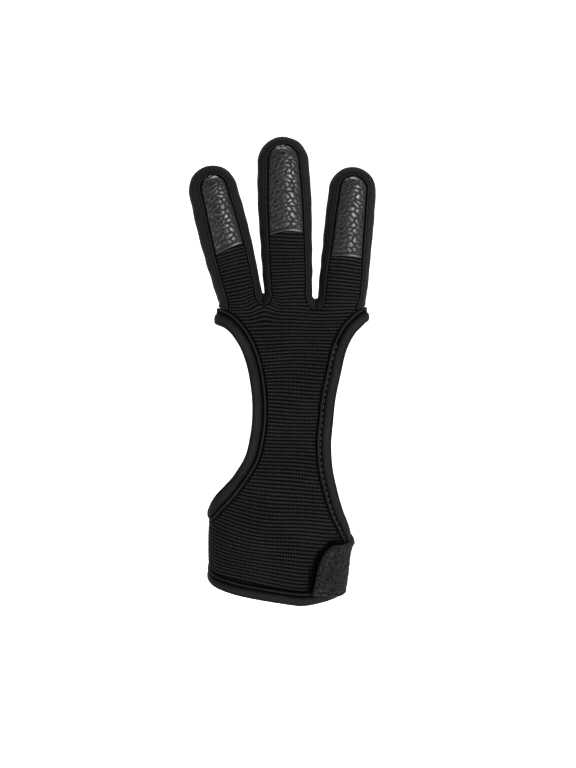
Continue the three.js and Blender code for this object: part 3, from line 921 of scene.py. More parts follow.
def finish_piece(piece: bpy.types.Object, finish: bpy.types.Material, slot: Slot,
                 *nodes: str) -> bpy.types.Object:
    """Gives a piece its material and its place on the frame, and reports it.

    Args:
        piece: The piece.
        finish: Its material.
        slot: Not used.
        nodes: The CAD nodes that it replaces.

    Returns:
        The same piece.
    """
    piece.data.materials.append(finish)
    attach(piece, "root")
    if nodes:
        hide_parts(*nodes)
    LOG.info("%s: %d faces", piece.name, len(piece.data.polygons))
    return piece


# Finishes

class Shader:
    """A material whose nodes are added and joined one by one."""

    def __init__(self, name: str, **sockets: object) -> None:
        """Starts a material with one principled shader and sets its plain sockets.

        Args:
            name: The material's name.
            sockets: Values by socket name, with underscores for spaces.
        """
        self.material = bpy.data.materials.new(name)
        self.material.use_nodes = True
        self.tree = self.material.node_tree
        self.tree.nodes.clear()
        self.surface = self.node("ShaderNodeBsdfPrincipled")
        output = self.node("ShaderNodeOutputMaterial")
        self.tree.links.new(self.surface.outputs[0], output.inputs["Surface"])
        for socket, value in sockets.items():
            self.surface.inputs[socket.replace("_", " ")].default_value = value

    def node(self, kind: str, **settings: object) -> bpy.types.Node:
        """Adds a node and sets its properties.

        Args:
            kind: The node's type.
            settings: Its properties.

        Returns:
            The new node.
        """
        made = self.tree.nodes.new(kind)
        for name, value in settings.items():
            setattr(made, name, value)
        return made

    def put(self, socket: Socket, value: object) -> None:
        """Links a socket's source to it, or sets its plain value.

        Args:
            socket: The input.
            value: Another node's output or a value.
        """
        if isinstance(value, Socket):
            self.tree.links.new(value, socket)
        else:
            socket.default_value = value

    def math(self, operation: str, *values: object) -> Socket:
        """A sum of one to three values.

        Args:
            operation: The operation's name.
            values: Its inputs in order.

        Returns:
            The result.
        """
        made = self.node("ShaderNodeMath", operation=operation)
        for socket, value in zip(made.inputs, values):
            self.put(socket, value)
        return made.outputs[0]

    def noise(self, scale: float, detail: float, stretch: Triple | None = None,
              vector: Socket | None = None) -> Socket:
        """Cloudy noise on Object coordinates, or on a given vector; the scale is per metre.

        Args:
            scale: The noise's scale.
            detail: How many finer layers it has.
            stretch: Scales of the vector's three parts.
            vector: Where to read it.

        Returns:
            The noise, from 0 to 1.
        """
        source = vector or self.node("ShaderNodeTexCoord").outputs["Object"]
        if stretch:
            mapping = self.node("ShaderNodeMapping")
            mapping.inputs["Scale"].default_value = stretch
            self.put(mapping.inputs["Vector"], source)
            source = mapping.outputs[0]
        made = self.node("ShaderNodeTexNoise")
        self.put(made.inputs["Vector"], source)
        made.inputs["Scale"].default_value = scale
        made.inputs["Detail"].default_value = detail
        return made.outputs["Fac"]

    def ranged(self, value: Socket, low: float, high: float, start: float,
               end: float) -> Socket:
        """A value's range from low to high, laid on start to end and held there.

        Args:
            value: The value.
            low: The range's lower end.
            high: Its upper end.
            start: The result at low.
            end: The result at high.

        Returns:
            The result.
        """
        made = self.node("ShaderNodeMapRange")
        self.put(made.inputs[0], value)
        for k, number in enumerate((low, high, start, end), start=1):
            made.inputs[k].default_value = number
        return made.outputs[0]

    def clouds(self, scale: float, detail: float, low: float, high: float, start: float,
               end: float) -> Socket:
        """Noise whose range from low to high is laid on start to end."""
        return self.ranged(self.noise(scale, detail), low, high, start, end)

    def tint(self, share: Socket, dark: Triple, light: Triple) -> Socket:
        """A colour between two, by a share.

        Args:
            share: From 0 for dark to 1 for light.
            dark: A linear colour.
            light: Another linear colour.

        Returns:
            The colour.
        """
        made = self.node("ShaderNodeMix", data_type="RGBA")
        self.put(made.inputs["Factor"], share)
        for name, colour in (("A", dark), ("B", light)):
            end = next(s for s in made.inputs if s.name == name and s.type == "RGBA")
            end.default_value = (*colour, 1)
        return next(s for s in made.outputs if s.type == "RGBA")

    def bump(self, height: Socket, distance: float, strength: float = 1.0,
             under: Socket | None = None) -> Socket:
        """A bump of a height in metres, over another bump where one is given.

        Args:
            height: The height.
            distance: The metres in a height of 1.
            strength: How much of it counts.
            under: Another bump.

        Returns:
            The bent normal.
        """
        made = self.node("ShaderNodeBump")
        made.inputs["Distance"].default_value = distance
        made.inputs["Strength"].default_value = strength
        self.put(made.inputs["Height"], height)
        if under:
            self.put(made.inputs["Normal"], under)
        return made.outputs[0]

    def rough(self, scale: float, detail: float, distance: float, strength: float,
              under: Socket | None = None) -> Socket:
        """A bump of noise, over another bump where one is given."""
        return self.bump(self.noise(scale, detail), distance, strength, under)

    def relief(self) -> Socket:
        """The piece's relief attribute."""
        return self.node("ShaderNodeAttribute", attribute_name="relief").outputs["Fac"]

    def cloth(self) -> tuple[Socket, Socket]:
        """The cloth map as a vector, and its place along the cloth, in mm.

        Returns:
            The vector and the place.
        """
        vector = self.node("ShaderNodeUVMap", uv_map="cloth").outputs[0]
        parts = self.node("ShaderNodeSeparateXYZ")
        self.put(parts.inputs[0], vector)
        return vector, parts.outputs[0]

    def wear(self, colour: object, roughness: object, normal: object) -> bpy.types.Material:
        """Sets the surface's colour, roughness and normal and gives the material.

        Args:
            colour: An output or a plain colour.
            roughness: An output or a plain value.
            normal: A bump.

        Returns:
            The material.
        """
        self.put(self.surface.inputs["Base Color"], colour)
        self.put(self.surface.inputs["Roughness"], roughness)
        self.put(self.surface.inputs["Normal"], normal)
        return self.material


@dataclass(frozen=True)
class RibbedKnit:
    """Black knit with stitched dashes along each rib, in mm; colours are linear."""

    stitch: float = 1.15
    drift: float = 7.0
    stitch_shade: float = 0.62
    # groove is painted shade: the colour deep in the ribs' grooves and in the panel's painted shade
    # and shadow.
    groove: Triple = (0.0006, 0.0006, 0.0006)
    ridge: Triple = (0.0288, 0.0292, 0.0284)

    def material(self) -> bpy.types.Material:
        """The ribs' relief paints shade into the grooves; a sine along the rib breaks it into
        stitches.

        Returns:
            The material.
        """
        shader = Shader("ribbed_knit", Sheen_Weight=0.012, Sheen_Roughness=0.5,
                        Specular_IOR_Level=0.02)
        vector, along = shader.cloth()
        fuzz = shader.noise(0.5, 2.0, (0.16, 1.7, 1.0), vector)
        drift = shader.math("MULTIPLY", fuzz, self.drift)
        turns = shader.math("MULTIPLY_ADD", along, 2 * np.pi / self.stitch, drift)
        dash = shader.math("MULTIPLY_ADD", shader.math("SINE", turns), 0.5, 0.5)
        patch = shader.clouds(60.0, 2.0, 0.35, 0.65, 0.6, 1.0)
        dash = shader.math("MULTIPLY", dash, patch)
        relief = shader.math("POWER", shader.relief(), 1.5)
        left = shader.math("MULTIPLY_ADD", dash, -self.stitch_shade, 1.0)
        light = shader.math("MULTIPLY", relief, left)
        grain = shader.clouds(2600.0, 2.0, 0.3, 0.7, 0.66, 1.3)
        colour = shader.tint(shader.math("MULTIPLY", light, grain), self.groove, self.ridge)
        stitched = shader.bump(dash, -0.00028)
        return shader.wear(colour, 0.82, shader.rough(3000.0, 2.0, 0.00012, 0.6, stitched))


@dataclass(frozen=True)
class SmoothKnit:
    """Foam-backed knit with a fine fuzz that catches light along its edges."""

    dark: Triple = (0.0006, 0.0006, 0.0006)
    light: Triple = (0.0230, 0.0233, 0.0229)

    def material(self) -> bpy.types.Material:
        """A fine grain and slow clouds over a colour that the relief darkens and lightens: painted
        shade in grooves and at seams, painted highlights on ridges and piping.

        Returns:
            The material.
        """
        shader = Shader("smooth_knit", Sheen_Weight=0.03, Sheen_Roughness=0.35,
                        Specular_IOR_Level=0.03)
        clouds = shader.clouds(90.0, 3.0, 0.3, 0.7, 0.86, 1.1)
        grain = shader.clouds(2400.0, 2.0, 0.25, 0.75, 0.75, 1.25)
        share = shader.math("MULTIPLY", shader.relief(), shader.math("MULTIPLY", clouds, grain))
        colour = shader.tint(share, self.dark, self.light)
        weave = shader.rough(1900.0, 2.0, 0.00014, 0.55)
        return shader.wear(colour, 0.8, shader.rough(260.0, 2.0, 0.00035, 0.35, weave))


@dataclass(frozen=True)
class PebbledLeather:
    """Glossy black leather whose creases are dull, with painted shade in them."""

    # crease is painted shade deep in the creases.
    crease: Triple = (0.0004, 0.0004, 0.0004)
    pebble: Triple = (0.0045, 0.0045, 0.0044)

    def material(self) -> bpy.types.Material:
        """The relief paints shade into the creases and the tucked border; fine grain breaks the
        gloss.

        Returns:
            The material.
        """
        shader = Shader("pebbled_leather", Specular_IOR_Level=0.8, Coat_Weight=0.04,
                        Coat_Roughness=0.22)
        relief = shader.relief()
        worn = shader.clouds(420.0, 3.0, 0.35, 0.65, 0.8, 1.15)
        colour = shader.tint(shader.math("MULTIPLY", relief, worn), self.crease, self.pebble)
        gloss = shader.ranged(relief, 0.6, 1.0, 0.95, 0.18)
        uneven = shader.clouds(700.0, 3.0, 0.3, 0.7, -0.05, 0.07)
        fine = shader.rough(2300.0, 3.0, 0.00006, 0.5)
        return shader.wear(colour, shader.math("ADD", gloss, uneven), fine)


@dataclass(frozen=True)
class LoopCloth:
    """Napped cloth of fine loops, lighter along its edges."""

    dark: Triple = (0.0006, 0.0006, 0.0006)
    light: Triple = (0.0440, 0.0440, 0.0431)

    def material(self) -> bpy.types.Material:
        """Fine specks of nap over the relief, with a faint sheen.

        Returns:
            The material.
        """
        shader = Shader("loop_cloth", Sheen_Weight=0.05, Sheen_Roughness=0.5,
                        Specular_IOR_Level=0.03)
        specks = shader.clouds(1500.0, 4.0, 0.38, 0.66, 0.1, 1.45)
        share = shader.math("MULTIPLY", shader.relief(), specks)
        colour = shader.tint(share, self.dark, self.light)
        return shader.wear(colour, 0.95, shader.rough(1700.0, 3.0, 0.0004, 0.9))


@dataclass(frozen=True)
class Thread:
    """Sewing thread, twisted."""

    colour: Triple = (0.045, 0.045, 0.044)

    def material(self) -> bpy.types.Material:
        """A plain dark thread with a twist in its bump.

        Returns:
            The material.
        """
        shader = Shader("sewing_thread", Sheen_Weight=0.2, Specular_IOR_Level=0.3)
        dull = tuple(0.6 * part for part in self.colour)
        colour = shader.tint(shader.clouds(2500.0, 2.0, 0.3, 0.7, 0.0, 1.0), dull, self.colour)
        return shader.wear(colour, 0.7, shader.rough(3500.0, 1.0, 0.0001, 0.6))


# The pieces

def tip_turns(steps: int) -> Array:
    """Angles round a finger's end in equal steps, to a little less than a quarter turn."""
    return np.radians(np.linspace(0, 86, steps))[1:]


@dataclass
class RibbedPanel:
    """The ribbed knit of the palm or the back, with its three finger parts, in mm.

    Swell is the ribs' height and proud how far they stand over the smooth face. Rows follow the
    first row of the fingers within blend of it, as a share of the palm, and crotch_reach is how
    far below a crotch they still rise. Beside the tapes and above the hem the knit carries
    painted shade, and beside the tab a painted shadow: for each, the light left at its darkest
    and its width are given, and the painted shadow stays darkest for a set distance from the tab.
    """

    form: Form
    face: Face
    tab: "ClosureTab"
    row_step: float
    pitch: float = 1.5
    swell: float = 0.45
    proud: float = 0.06
    waver: float = 0.3
    blend: float = 0.3
    crotch_reach: float = 9.0
    tape_shade: tuple[float, float] = (0.35, 0.9)
    hem_shade: tuple[float, float] = (0.1, 1.5)
    tab_shadow: tuple[float, float] = (0.04, 1.7)
    tab_shadow_core: float = 1.2
    columns: int = 20

    def ribs(self, height: Array) -> Array:
        """The ribs' relief from 0 to 1: a raised cosine of the height over the pitch, with
        broad ridges and narrow grooves."""
        return (0.5 + 0.5 * np.cos(2 * np.pi * height / self.pitch)) ** 0.85

    def shade(self, outer: Array, angle: Array, height: Array) -> Array:
        """How light the knit is under its painted shade: darker beside the hem and the tapes,
        and darkest in a painted shadow beside the tab.

        Args:
            outer: The outer grid.
            angle: The angle of each point, folded to the palm.
            height: The height of each point, in mm.

        Returns:
            The share of the relief that is left at each point.
        """
        run = lengths_along(outer, 1)
        beside_tape = np.minimum(run, run[:, -1:] - run)
        above_hem = height - self.form.hem_width - self.form.hem_gap
        # A painted shadow beside the tab: fully dark near its edge, fading out over its width.
        by_tab = self.tab.distance(self.face, angle, height) - self.tab_shadow_core
        painted_shades = (self.tape_shade, beside_tape), (self.hem_shade, above_hem), (self.tab_shadow, by_tab)
        return np.prod([mix(least, 1.0, smooth(away / width)) for (least, width), away in painted_shades],
                       axis=0)

    def palm_part(self) -> tuple[Array, Array, Array, Array]:
        """The part below the fingers.

        Returns:
            Its outer grid, its inner grid, the height of each point up the cloth and its painted
            shade.
        """
        form, hand = self.form, self.form.hand
        bottom = form.hem_width + form.hem_gap
        rows = int(round((hand.palm_height - bottom) / self.row_step))
        heights = np.linspace(bottom, hand.palm_height, rows + 1)
        left = form.edge_at(form.pinky, self.face, heights)[:, None]
        right = form.edge_at(form.thumb, self.face, heights)[:, None]
        cuts = [form.base_angle(form.fingers[0], self.face, 0)]
        cuts += [form.base_angle(finger, self.face, 1) for finger in form.fingers]
        steps = np.arange(3 * self.columns + 1)
        at_fingers = np.interp(steps / self.columns, range(4), cuts)
        own = (at_fingers - cuts[0]) / (cuts[-1] - cuts[0])
        fade = smooth((hand.palm_height - heights) / (hand.palm_height * self.blend))[:, None]
        angle = mix(left, right, mix(own, steps / steps[-1], fade))
        turned = angle if self.face is Face.PALM else np.pi - angle
        height = np.broadcast_to(heights[:, None], angle.shape)
        outer = hand.lifted(turned, height, 0.0)
        inner = hand.lifted(turned, height, -form.panel_wall)
        near = smooth(1 - (hand.palm_height - height) / self.crotch_reach)
        for crotch in hand.crotches:
            for grid in (outer, inner):
                rise = crotch.rise * bump(grid[..., 0], crotch.across, hand.crotch_rise_width)
                grid[..., 2] += near * rise
        return outer, inner, height, self.shade(outer, angle, height)

    def finger_part(self, finger: Finger) -> tuple[Array, Array, Array]:
        """One finger's part: the whole finger on the back, up to the leather on the palm.

        Args:
            finger: The finger.

        Returns:
            Its outer grid, its inner grid and the height of each point up the cloth.
        """
        form = self.form
        palm = self.face is Face.PALM
        across = np.linspace(0, 1, self.columns + 1)[None, :]
        last = finger.hem_share(across) - form.seam_gap / finger.length if palm else 1.0
        rows = int(round(np.min(last) * finger.length / self.row_step))
        share = np.concatenate([[0, 0.0012, 0.004], np.linspace(0, 1, rows + 1)[1:]])
        tip = np.zeros(len(share))
        if not palm:
            turn = tip_turns(40)
            share = np.concatenate([share, np.ones(len(turn))])
            tip = np.concatenate([tip, turn])
        share, tip = share[:, None] * last, tip[:, None]
        outer = form.finger_face(finger, self.face, share, tip, across, side_gap=form.seam_gap)
        inner = form.finger_inside(outer, finger, self.face, share, across, form.panel_wall)
        reach = (finger.radius - finger.top) * np.sin(tip)
        height = form.hand.palm_height + share * finger.length + reach
        return outer, inner, np.broadcast_to(height, outer.shape[:2])

    def raised(self, outer: Array, height: Array) -> tuple[Array, Array]:
        """The outer grid with its ribs: moved along its normals, more in the grooves.

        Args:
            outer: The smooth outer grid.
            height: The height of each point up the cloth.

        Returns:
            The ribbed grid and the relief.
        """
        relief = self.ribs(height + self.waver * ripples(outer[..., 0], height, 26.0, 17))
        normals = outward(outer, 1.0)
        normals *= np.sign(np.sum(normals * [0, self.face.value, 0], -1, keepdims=True).sum())
        return outer + normals * (self.proud - self.swell * (1 - relief))[..., None], relief

    def build(self) -> bpy.types.Object:
        """Builds the panel: the palm part's top row is shared with the fingers' first rows.

        Returns:
            The new object.
        """
        shell = Shell()
        outer, inner, height, shade = self.palm_part()
        ribbed, relief = self.raised(outer, height)
        along = outer[..., 0]
        # The panel's relief colour takes the painted shade and the painted shadow.
        shell.sheet(ribbed, inner, np.stack([along, height], -1), relief * shade,
                    (True, True, True, False))
        for k, finger in enumerate(self.form.fingers):
            part, lining, level = self.finger_part(finger)
            raised, finger_relief = self.raised(part, level)
            columns = slice(k * self.columns, (k + 1) * self.columns + 1)
            raised[0], lining[0] = ribbed[-1, columns], inner[-1, columns]
            ease = np.linspace(1, 0, 4)[1:-1]
            for row, rest in enumerate(ease, start=1):
                raised[row] = part[row] + (raised[row] - part[row]) * (1 - rest) + (
                    ribbed[-1, columns] - outer[-1, columns]) * rest
            middle = self.columns // 2
            width = lengths_along(part, 1)
            sideways = part[:, middle : middle + 1, 0] + width - width[:, middle : middle + 1]
            above = level - self.form.hand.palm_height
            sideways = mix(sideways, part[..., 0], 1 - smooth(above / 8))
            shell.sheet(raised, lining, np.stack([sideways, level], -1), finger_relief,
                        (True, True, False, True))
        return shell.build(f"{self.face.name.lower()}_ribbed_knit")


@dataclass
class SideStrip:
    """The foam-backed strip round a finger: half an oval over the edge, from seam to seam.

    A line is the distance of a bell curve from the seam and its width, in mm.
    """

    form: Form
    finger: Finger
    stations: int = 96
    tip_stations: int = 28
    sections: int = 50
    ridge: float = 0.26
    ridge_line: tuple[float, float] = (0.42, 0.26)
    groove_line: tuple[float, float] = (0.98, 0.30)
    edge_line: tuple[float, float] = (0.0, 0.18)
    drawn_in: float = 0.9
    swell: float = 0.5
    foam: Padding = Padding()

    @staticmethod
    def turned_out(face: Array) -> float:
        """1 where the face's steps cross away from its middle, or -1."""
        away = face - np.mean(face[:, [0, -1]], axis=1, keepdims=True)
        return float(np.sign(np.sum(outward(face, 1.0) * away)))

    def side_end(self, wall: Array, turn: Array) -> Array:
        """The strip's lower end laid along the side opening's tape, one point a section turn.

        Args:
            wall: The distance inwards at each section turn, in mm.
            turn: Section angles, minus a quarter turn at the back seam.

        Returns:
            Points in mm, one a turn.
        """
        form, opening = self.form, self.form.beside(self.finger)
        height = form.hand.palm_height + form.web_gap
        palm = opening.turn_at(Face.PALM, height, form.panel_inset)
        back = opening.turn_at(Face.BACK, height, form.panel_inset)
        share = turn / QUARTER
        places = np.where(share < 0, back * -share, palm * share)
        angle, level = opening.inset(places, form.panel_inset)
        return form.hand.lifted(angle, level, -wall - self.drawn_in * np.cos(turn) ** 2)

    def half(self, end: int, share: Array, tip: Array, turn: Array, wall: Array) -> Array:
        """One side of the strip.

        The section is half an oval about the middle of the two seams, as wide as the way out to
        the finger's outline and as deep as half the way between the seams, less the wall.

        Args:
            end: 0 to the little finger's side, 1 to the thumb's.
            share: Places along the limb.
            tip: Angles round the end.
            turn: Section angles, minus a quarter turn at the back seam.
            wall: The distance inwards from the outer face, stations by sections.

        Returns:
            Points, stations by sections by 3.
        """
        form, finger = self.form, self.finger
        sign = -1 if end == 0 else 1
        palm, back = (
            form.finger_face(finger, face, share, tip, float(end), base_gap=form.web_gap)
            for face in (Face.PALM, Face.BACK)
        )
        middle = (palm + back) / 2
        if finger.outer == end:
            opening = form.beside(finger)
            low = form.hand.lifted(opening.side * QUARTER, opening.top + form.panel_inset, 0.0)
            lowest = (low[..., 0], low[..., 2])
        else:
            web = form.hand.crotches[finger.crotches[end]].web
            lowest = (middle[:1, 0], middle[:1, 2] + web)
        edge = form.outline(finger, end, share, 0.0, 0.0, lowest)
        round_end = [
            finger.tip[k] + finger.radius * (finger.lateral[k] * sign * np.cos(tip)
                                             + finger.along[k] * np.sin(tip))
            for k in (0, 1)
        ]
        edge = [np.where(tip > 0, round_end[k], edge[k]) for k in (0, 1)]
        out = np.stack([edge[0] - middle[:, 0], np.zeros(len(share)), edge[1] - middle[:, 2]], -1)
        width = np.linalg.norm(out, axis=-1)[:, None]
        depth = ((back - palm)[:, 1] / 2)[:, None]
        cosine, sine = np.cos(turn)[None, :], np.sin(turn)[None, :]
        points = middle[:, None, :] + unit(out)[:, None, :] * ((width - wall) * cosine)[..., None]
        points[..., 1] -= (depth - wall) * sine
        crotch = form.crotch_height / finger.length
        if finger.outer == end:
            rest = (1 - smooth(share / crotch))[:, None, None]
            mean_wall = np.broadcast_to(wall, (len(share), len(turn))).mean(axis=0)
            points = mix(points, self.side_end(mean_wall, turn)[None], rest)
        else:
            near = np.clip(1 - share / (0.1 * crotch), 0, 1)[:, None]
            points[..., 0] -= sign * form.seam_gap / 2 * near
        return points

    def whole(self, turn: Array, wall: Array) -> Array:
        """Both sides joined over the tip, from one lower end to the other.

        Args:
            turn: Section angles.
            wall: The distance inwards from the outer face, in mm.

        Returns:
            Points, stations by sections by 3.
        """
        crotch = self.form.crotch_height / self.finger.length
        low = crotch * np.linspace(0, 1, 22) ** 1.6
        share = np.concatenate([low, np.linspace(crotch, 1, self.stations)[1:]])
        tip = np.radians(np.linspace(0, 90, self.tip_stations))[1:]
        share = np.concatenate([share, np.ones(len(tip))])
        tip = np.concatenate([np.zeros(len(share) - len(tip)), tip])
        rows = len(share)
        wall = np.broadcast_to(wall, (2 * rows - 1, len(turn)))
        left = self.half(0, share, tip, turn, wall[:rows])
        right = self.half(1, share[:-1], tip[:-1], turn, wall[rows:][::-1])
        return np.concatenate([left, right[::-1]])

    def build(self) -> bpy.types.Object:
        """Builds the strip: a ridge and a groove follow each seam, and the foam is uneven.

        The section's angles lie closer near the two seams, where the ridge is.

        Returns:
            The new object.
        """
        even = np.linspace(-1, 1, self.sections + 1)
        turn = QUARTER * np.sign(even) * (1 - (1 - np.abs(even)) ** 1.45)
        plain = self.whole(turn, np.zeros(1))
        run = lengths_along(plain, 1)
        seam = np.minimum(run, run[:, -1:] - run)
        along = lengths_along(plain, 0)
        along = np.broadcast_to(along[:, self.sections // 2][:, None], seam.shape)
        lines = (self.ridge_line, self.groove_line, self.edge_line)
        ridge, groove, edge = (bump(seam, *line) for line in lines)
        uneven = ripples(along, run, 7.0, 3) * smooth((seam - 1.2) / 2.5)
        height = self.ridge * (ridge - 0.9 * groove) - 0.25 * edge + 0.07 * uneven
        height = height + self.foam.rise(plain, self.turned_out(plain), self.swell)
        if self.finger.outer is not None:
            left = along if self.finger.outer == 0 else along[-1:] - along
            height = height * smooth(left / 4.0)
        outer = self.whole(turn, -height)
        inner = self.whole(turn, np.full(1, self.form.strip_wall))
        # Painted light and shade: a painted highlight along the ridge, painted shade in the groove
        # and at the seam's edge.
        relief = np.clip(0.56 + 0.44 * ridge - 0.4 * groove - 0.5 * edge, 0, 1)
        shell = Shell()
        shell.sheet(outer, inner, np.stack([along, run], -1), relief, (True,) * 4)
        return shell.build(f"{self.finger.name}_foam_strip")


@dataclass
class LeatherPad:
    """The pebbled leather over a fingertip, with a turned hem along its lower edge, in mm.

    Dome is the pebbles' height and tucked how far the border goes in over tuck_width. The hem
    stands by hem_rise over the face, and dashes of one stitch each lie dash_above it.
    """

    form: Form
    finger: Finger
    pebble: tuple[float, float] = (3.2, 2.15)
    step: float = 0.2
    hem: float = 1.15
    swell: float = 1.5
    dome: float = 0.38
    tucked: float = 0.55
    tuck_width: float = 1.1
    hem_rise: float = 0.85
    dash_above: float = 0.5
    stitch: float = 1.7
    foam: Padding = Padding(pressure=650.0, stiffness=2.0)

    def pebbles(self, across: Array, along: Array) -> Array:
        """Domed cells from 0 in the creases to 1: how much further the second nearest of the
        seeded cell points lies than the nearest.

        Args:
            across: Places across the finger, in mm.
            along: Places along it, in mm.

        Returns:
            The cells' relief.
        """
        rng = np.random.default_rng(sum(map(ord, self.finger.name)))
        table = rng.random((64, 64, 2))
        bent = along + 0.035 * across**2 + 0.35 * ripples(across, along, 9.0, 8)
        u = across / self.pebble[0] + 0.25 * ripples(along, across, 8.0, 5)
        v = bent / self.pebble[1]
        column, row = np.floor(u).astype(int), np.floor(v).astype(int)
        nearest, second = np.full(u.shape, 9.0), np.full(u.shape, 9.0)
        for right in (-2, -1, 0, 1, 2):
            for up in (-1, 0, 1):
                place = table[(column + right) % 64, (row + up) % 64]
                du = u - (column + right + 0.5 * ((row + up) % 2) + 0.2 + 0.6 * place[..., 0])
                dv = v - (row + up + 0.2 + 0.6 * place[..., 1])
                away = np.sqrt(du * du + dv * dv)
                second = np.where(away < nearest, nearest, np.minimum(second, away))
                nearest = np.minimum(nearest, away)
        return second - nearest

    def build(self) -> bpy.types.Object:
        """Builds the pad: a crown, pebbles that flatten out at the hem, and a tucked border.

        Returns:
            The new object.
        """
        form, finger = self.form, self.finger
        rows = int(round(finger.pad / self.step))
        turn = tip_turns(44)
        rise = np.concatenate([np.linspace(0, 1, rows + 1), np.ones(len(turn))])[:, None]
        tip = np.concatenate([np.zeros(rows + 1), turn])[:, None]
        columns = int(round(2 * (finger.radius - 4.5) / self.step)) + 12
        even = np.linspace(0, 1, columns + 1)[None, :]
        across = (0.5 - 0.5 * np.cos(np.pi * even)) * 0.35 + even * 0.65
        share = mix(finger.hem_share(across), 1.0, rise)
        face = form.finger_face(finger, Face.PALM, share, tip, across, side_gap=form.pad_gap)
        inner = form.finger_inside(face, finger, Face.PALM, share, across, form.pad_wall)
        run = lengths_along(face, 1)
        width = run[:, -1:]
        sideways = run - width / 2
        along = (share - finger.hem_share(across)) * finger.length + (
            (finger.radius - finger.top) * np.sin(tip))
        top = along[-1:, :1] - along + 0.4
        border = np.minimum(np.minimum(run, width - run), top)
        cells = self.pebbles(sideways, along)
        domes = 0.75 * (1 - (1 - np.clip(cells / 0.4, 0, 1)) ** 2) + 0.25 * np.clip(cells, 0, 1)
        body = smooth((along - self.hem - 0.25) / 0.5)
        tuck = smooth(border / self.tuck_width)
        sag = 0.14 * ripples(sideways, along, 10.0, 11)
        sign = float(np.sign(np.sum(-outward(face, 1.0)[..., 1])))
        fold = self.foam.rise(face, sign, self.swell)
        relief = mix(0.86, domes, body)
        on_limb = 1 - 0.75 * smooth((tip - 0.6) / 0.6)
        dashes = bump(along, self.hem + self.dash_above, 0.2) * (
            np.sin(2 * np.pi * sideways / self.stitch) > -0.3)
        height = body * (self.dome * domes + sag + fold * on_limb) * tuck
        height -= self.tucked * (1 - tuck) + 0.2 * dashes
        height += (1 - body) * (self.hem_rise - 0.7 * bump(along, self.hem + 0.2, 0.22)) * tuck
        outer = face + outward(face, sign) * height[..., None]
        shell = Shell()
        # The relief paints shade into the creases and along the tucked border under the strip; the
        # stitch dashes are dark.
        shell.sheet(outer, inner, np.stack([sideways, along], -1),
                    np.clip(relief * (0.25 + 0.75 * tuck) - 0.9 * dashes, 0, 1), (True,) * 4)
        return shell.build(f"{finger.name}_leather_pad")


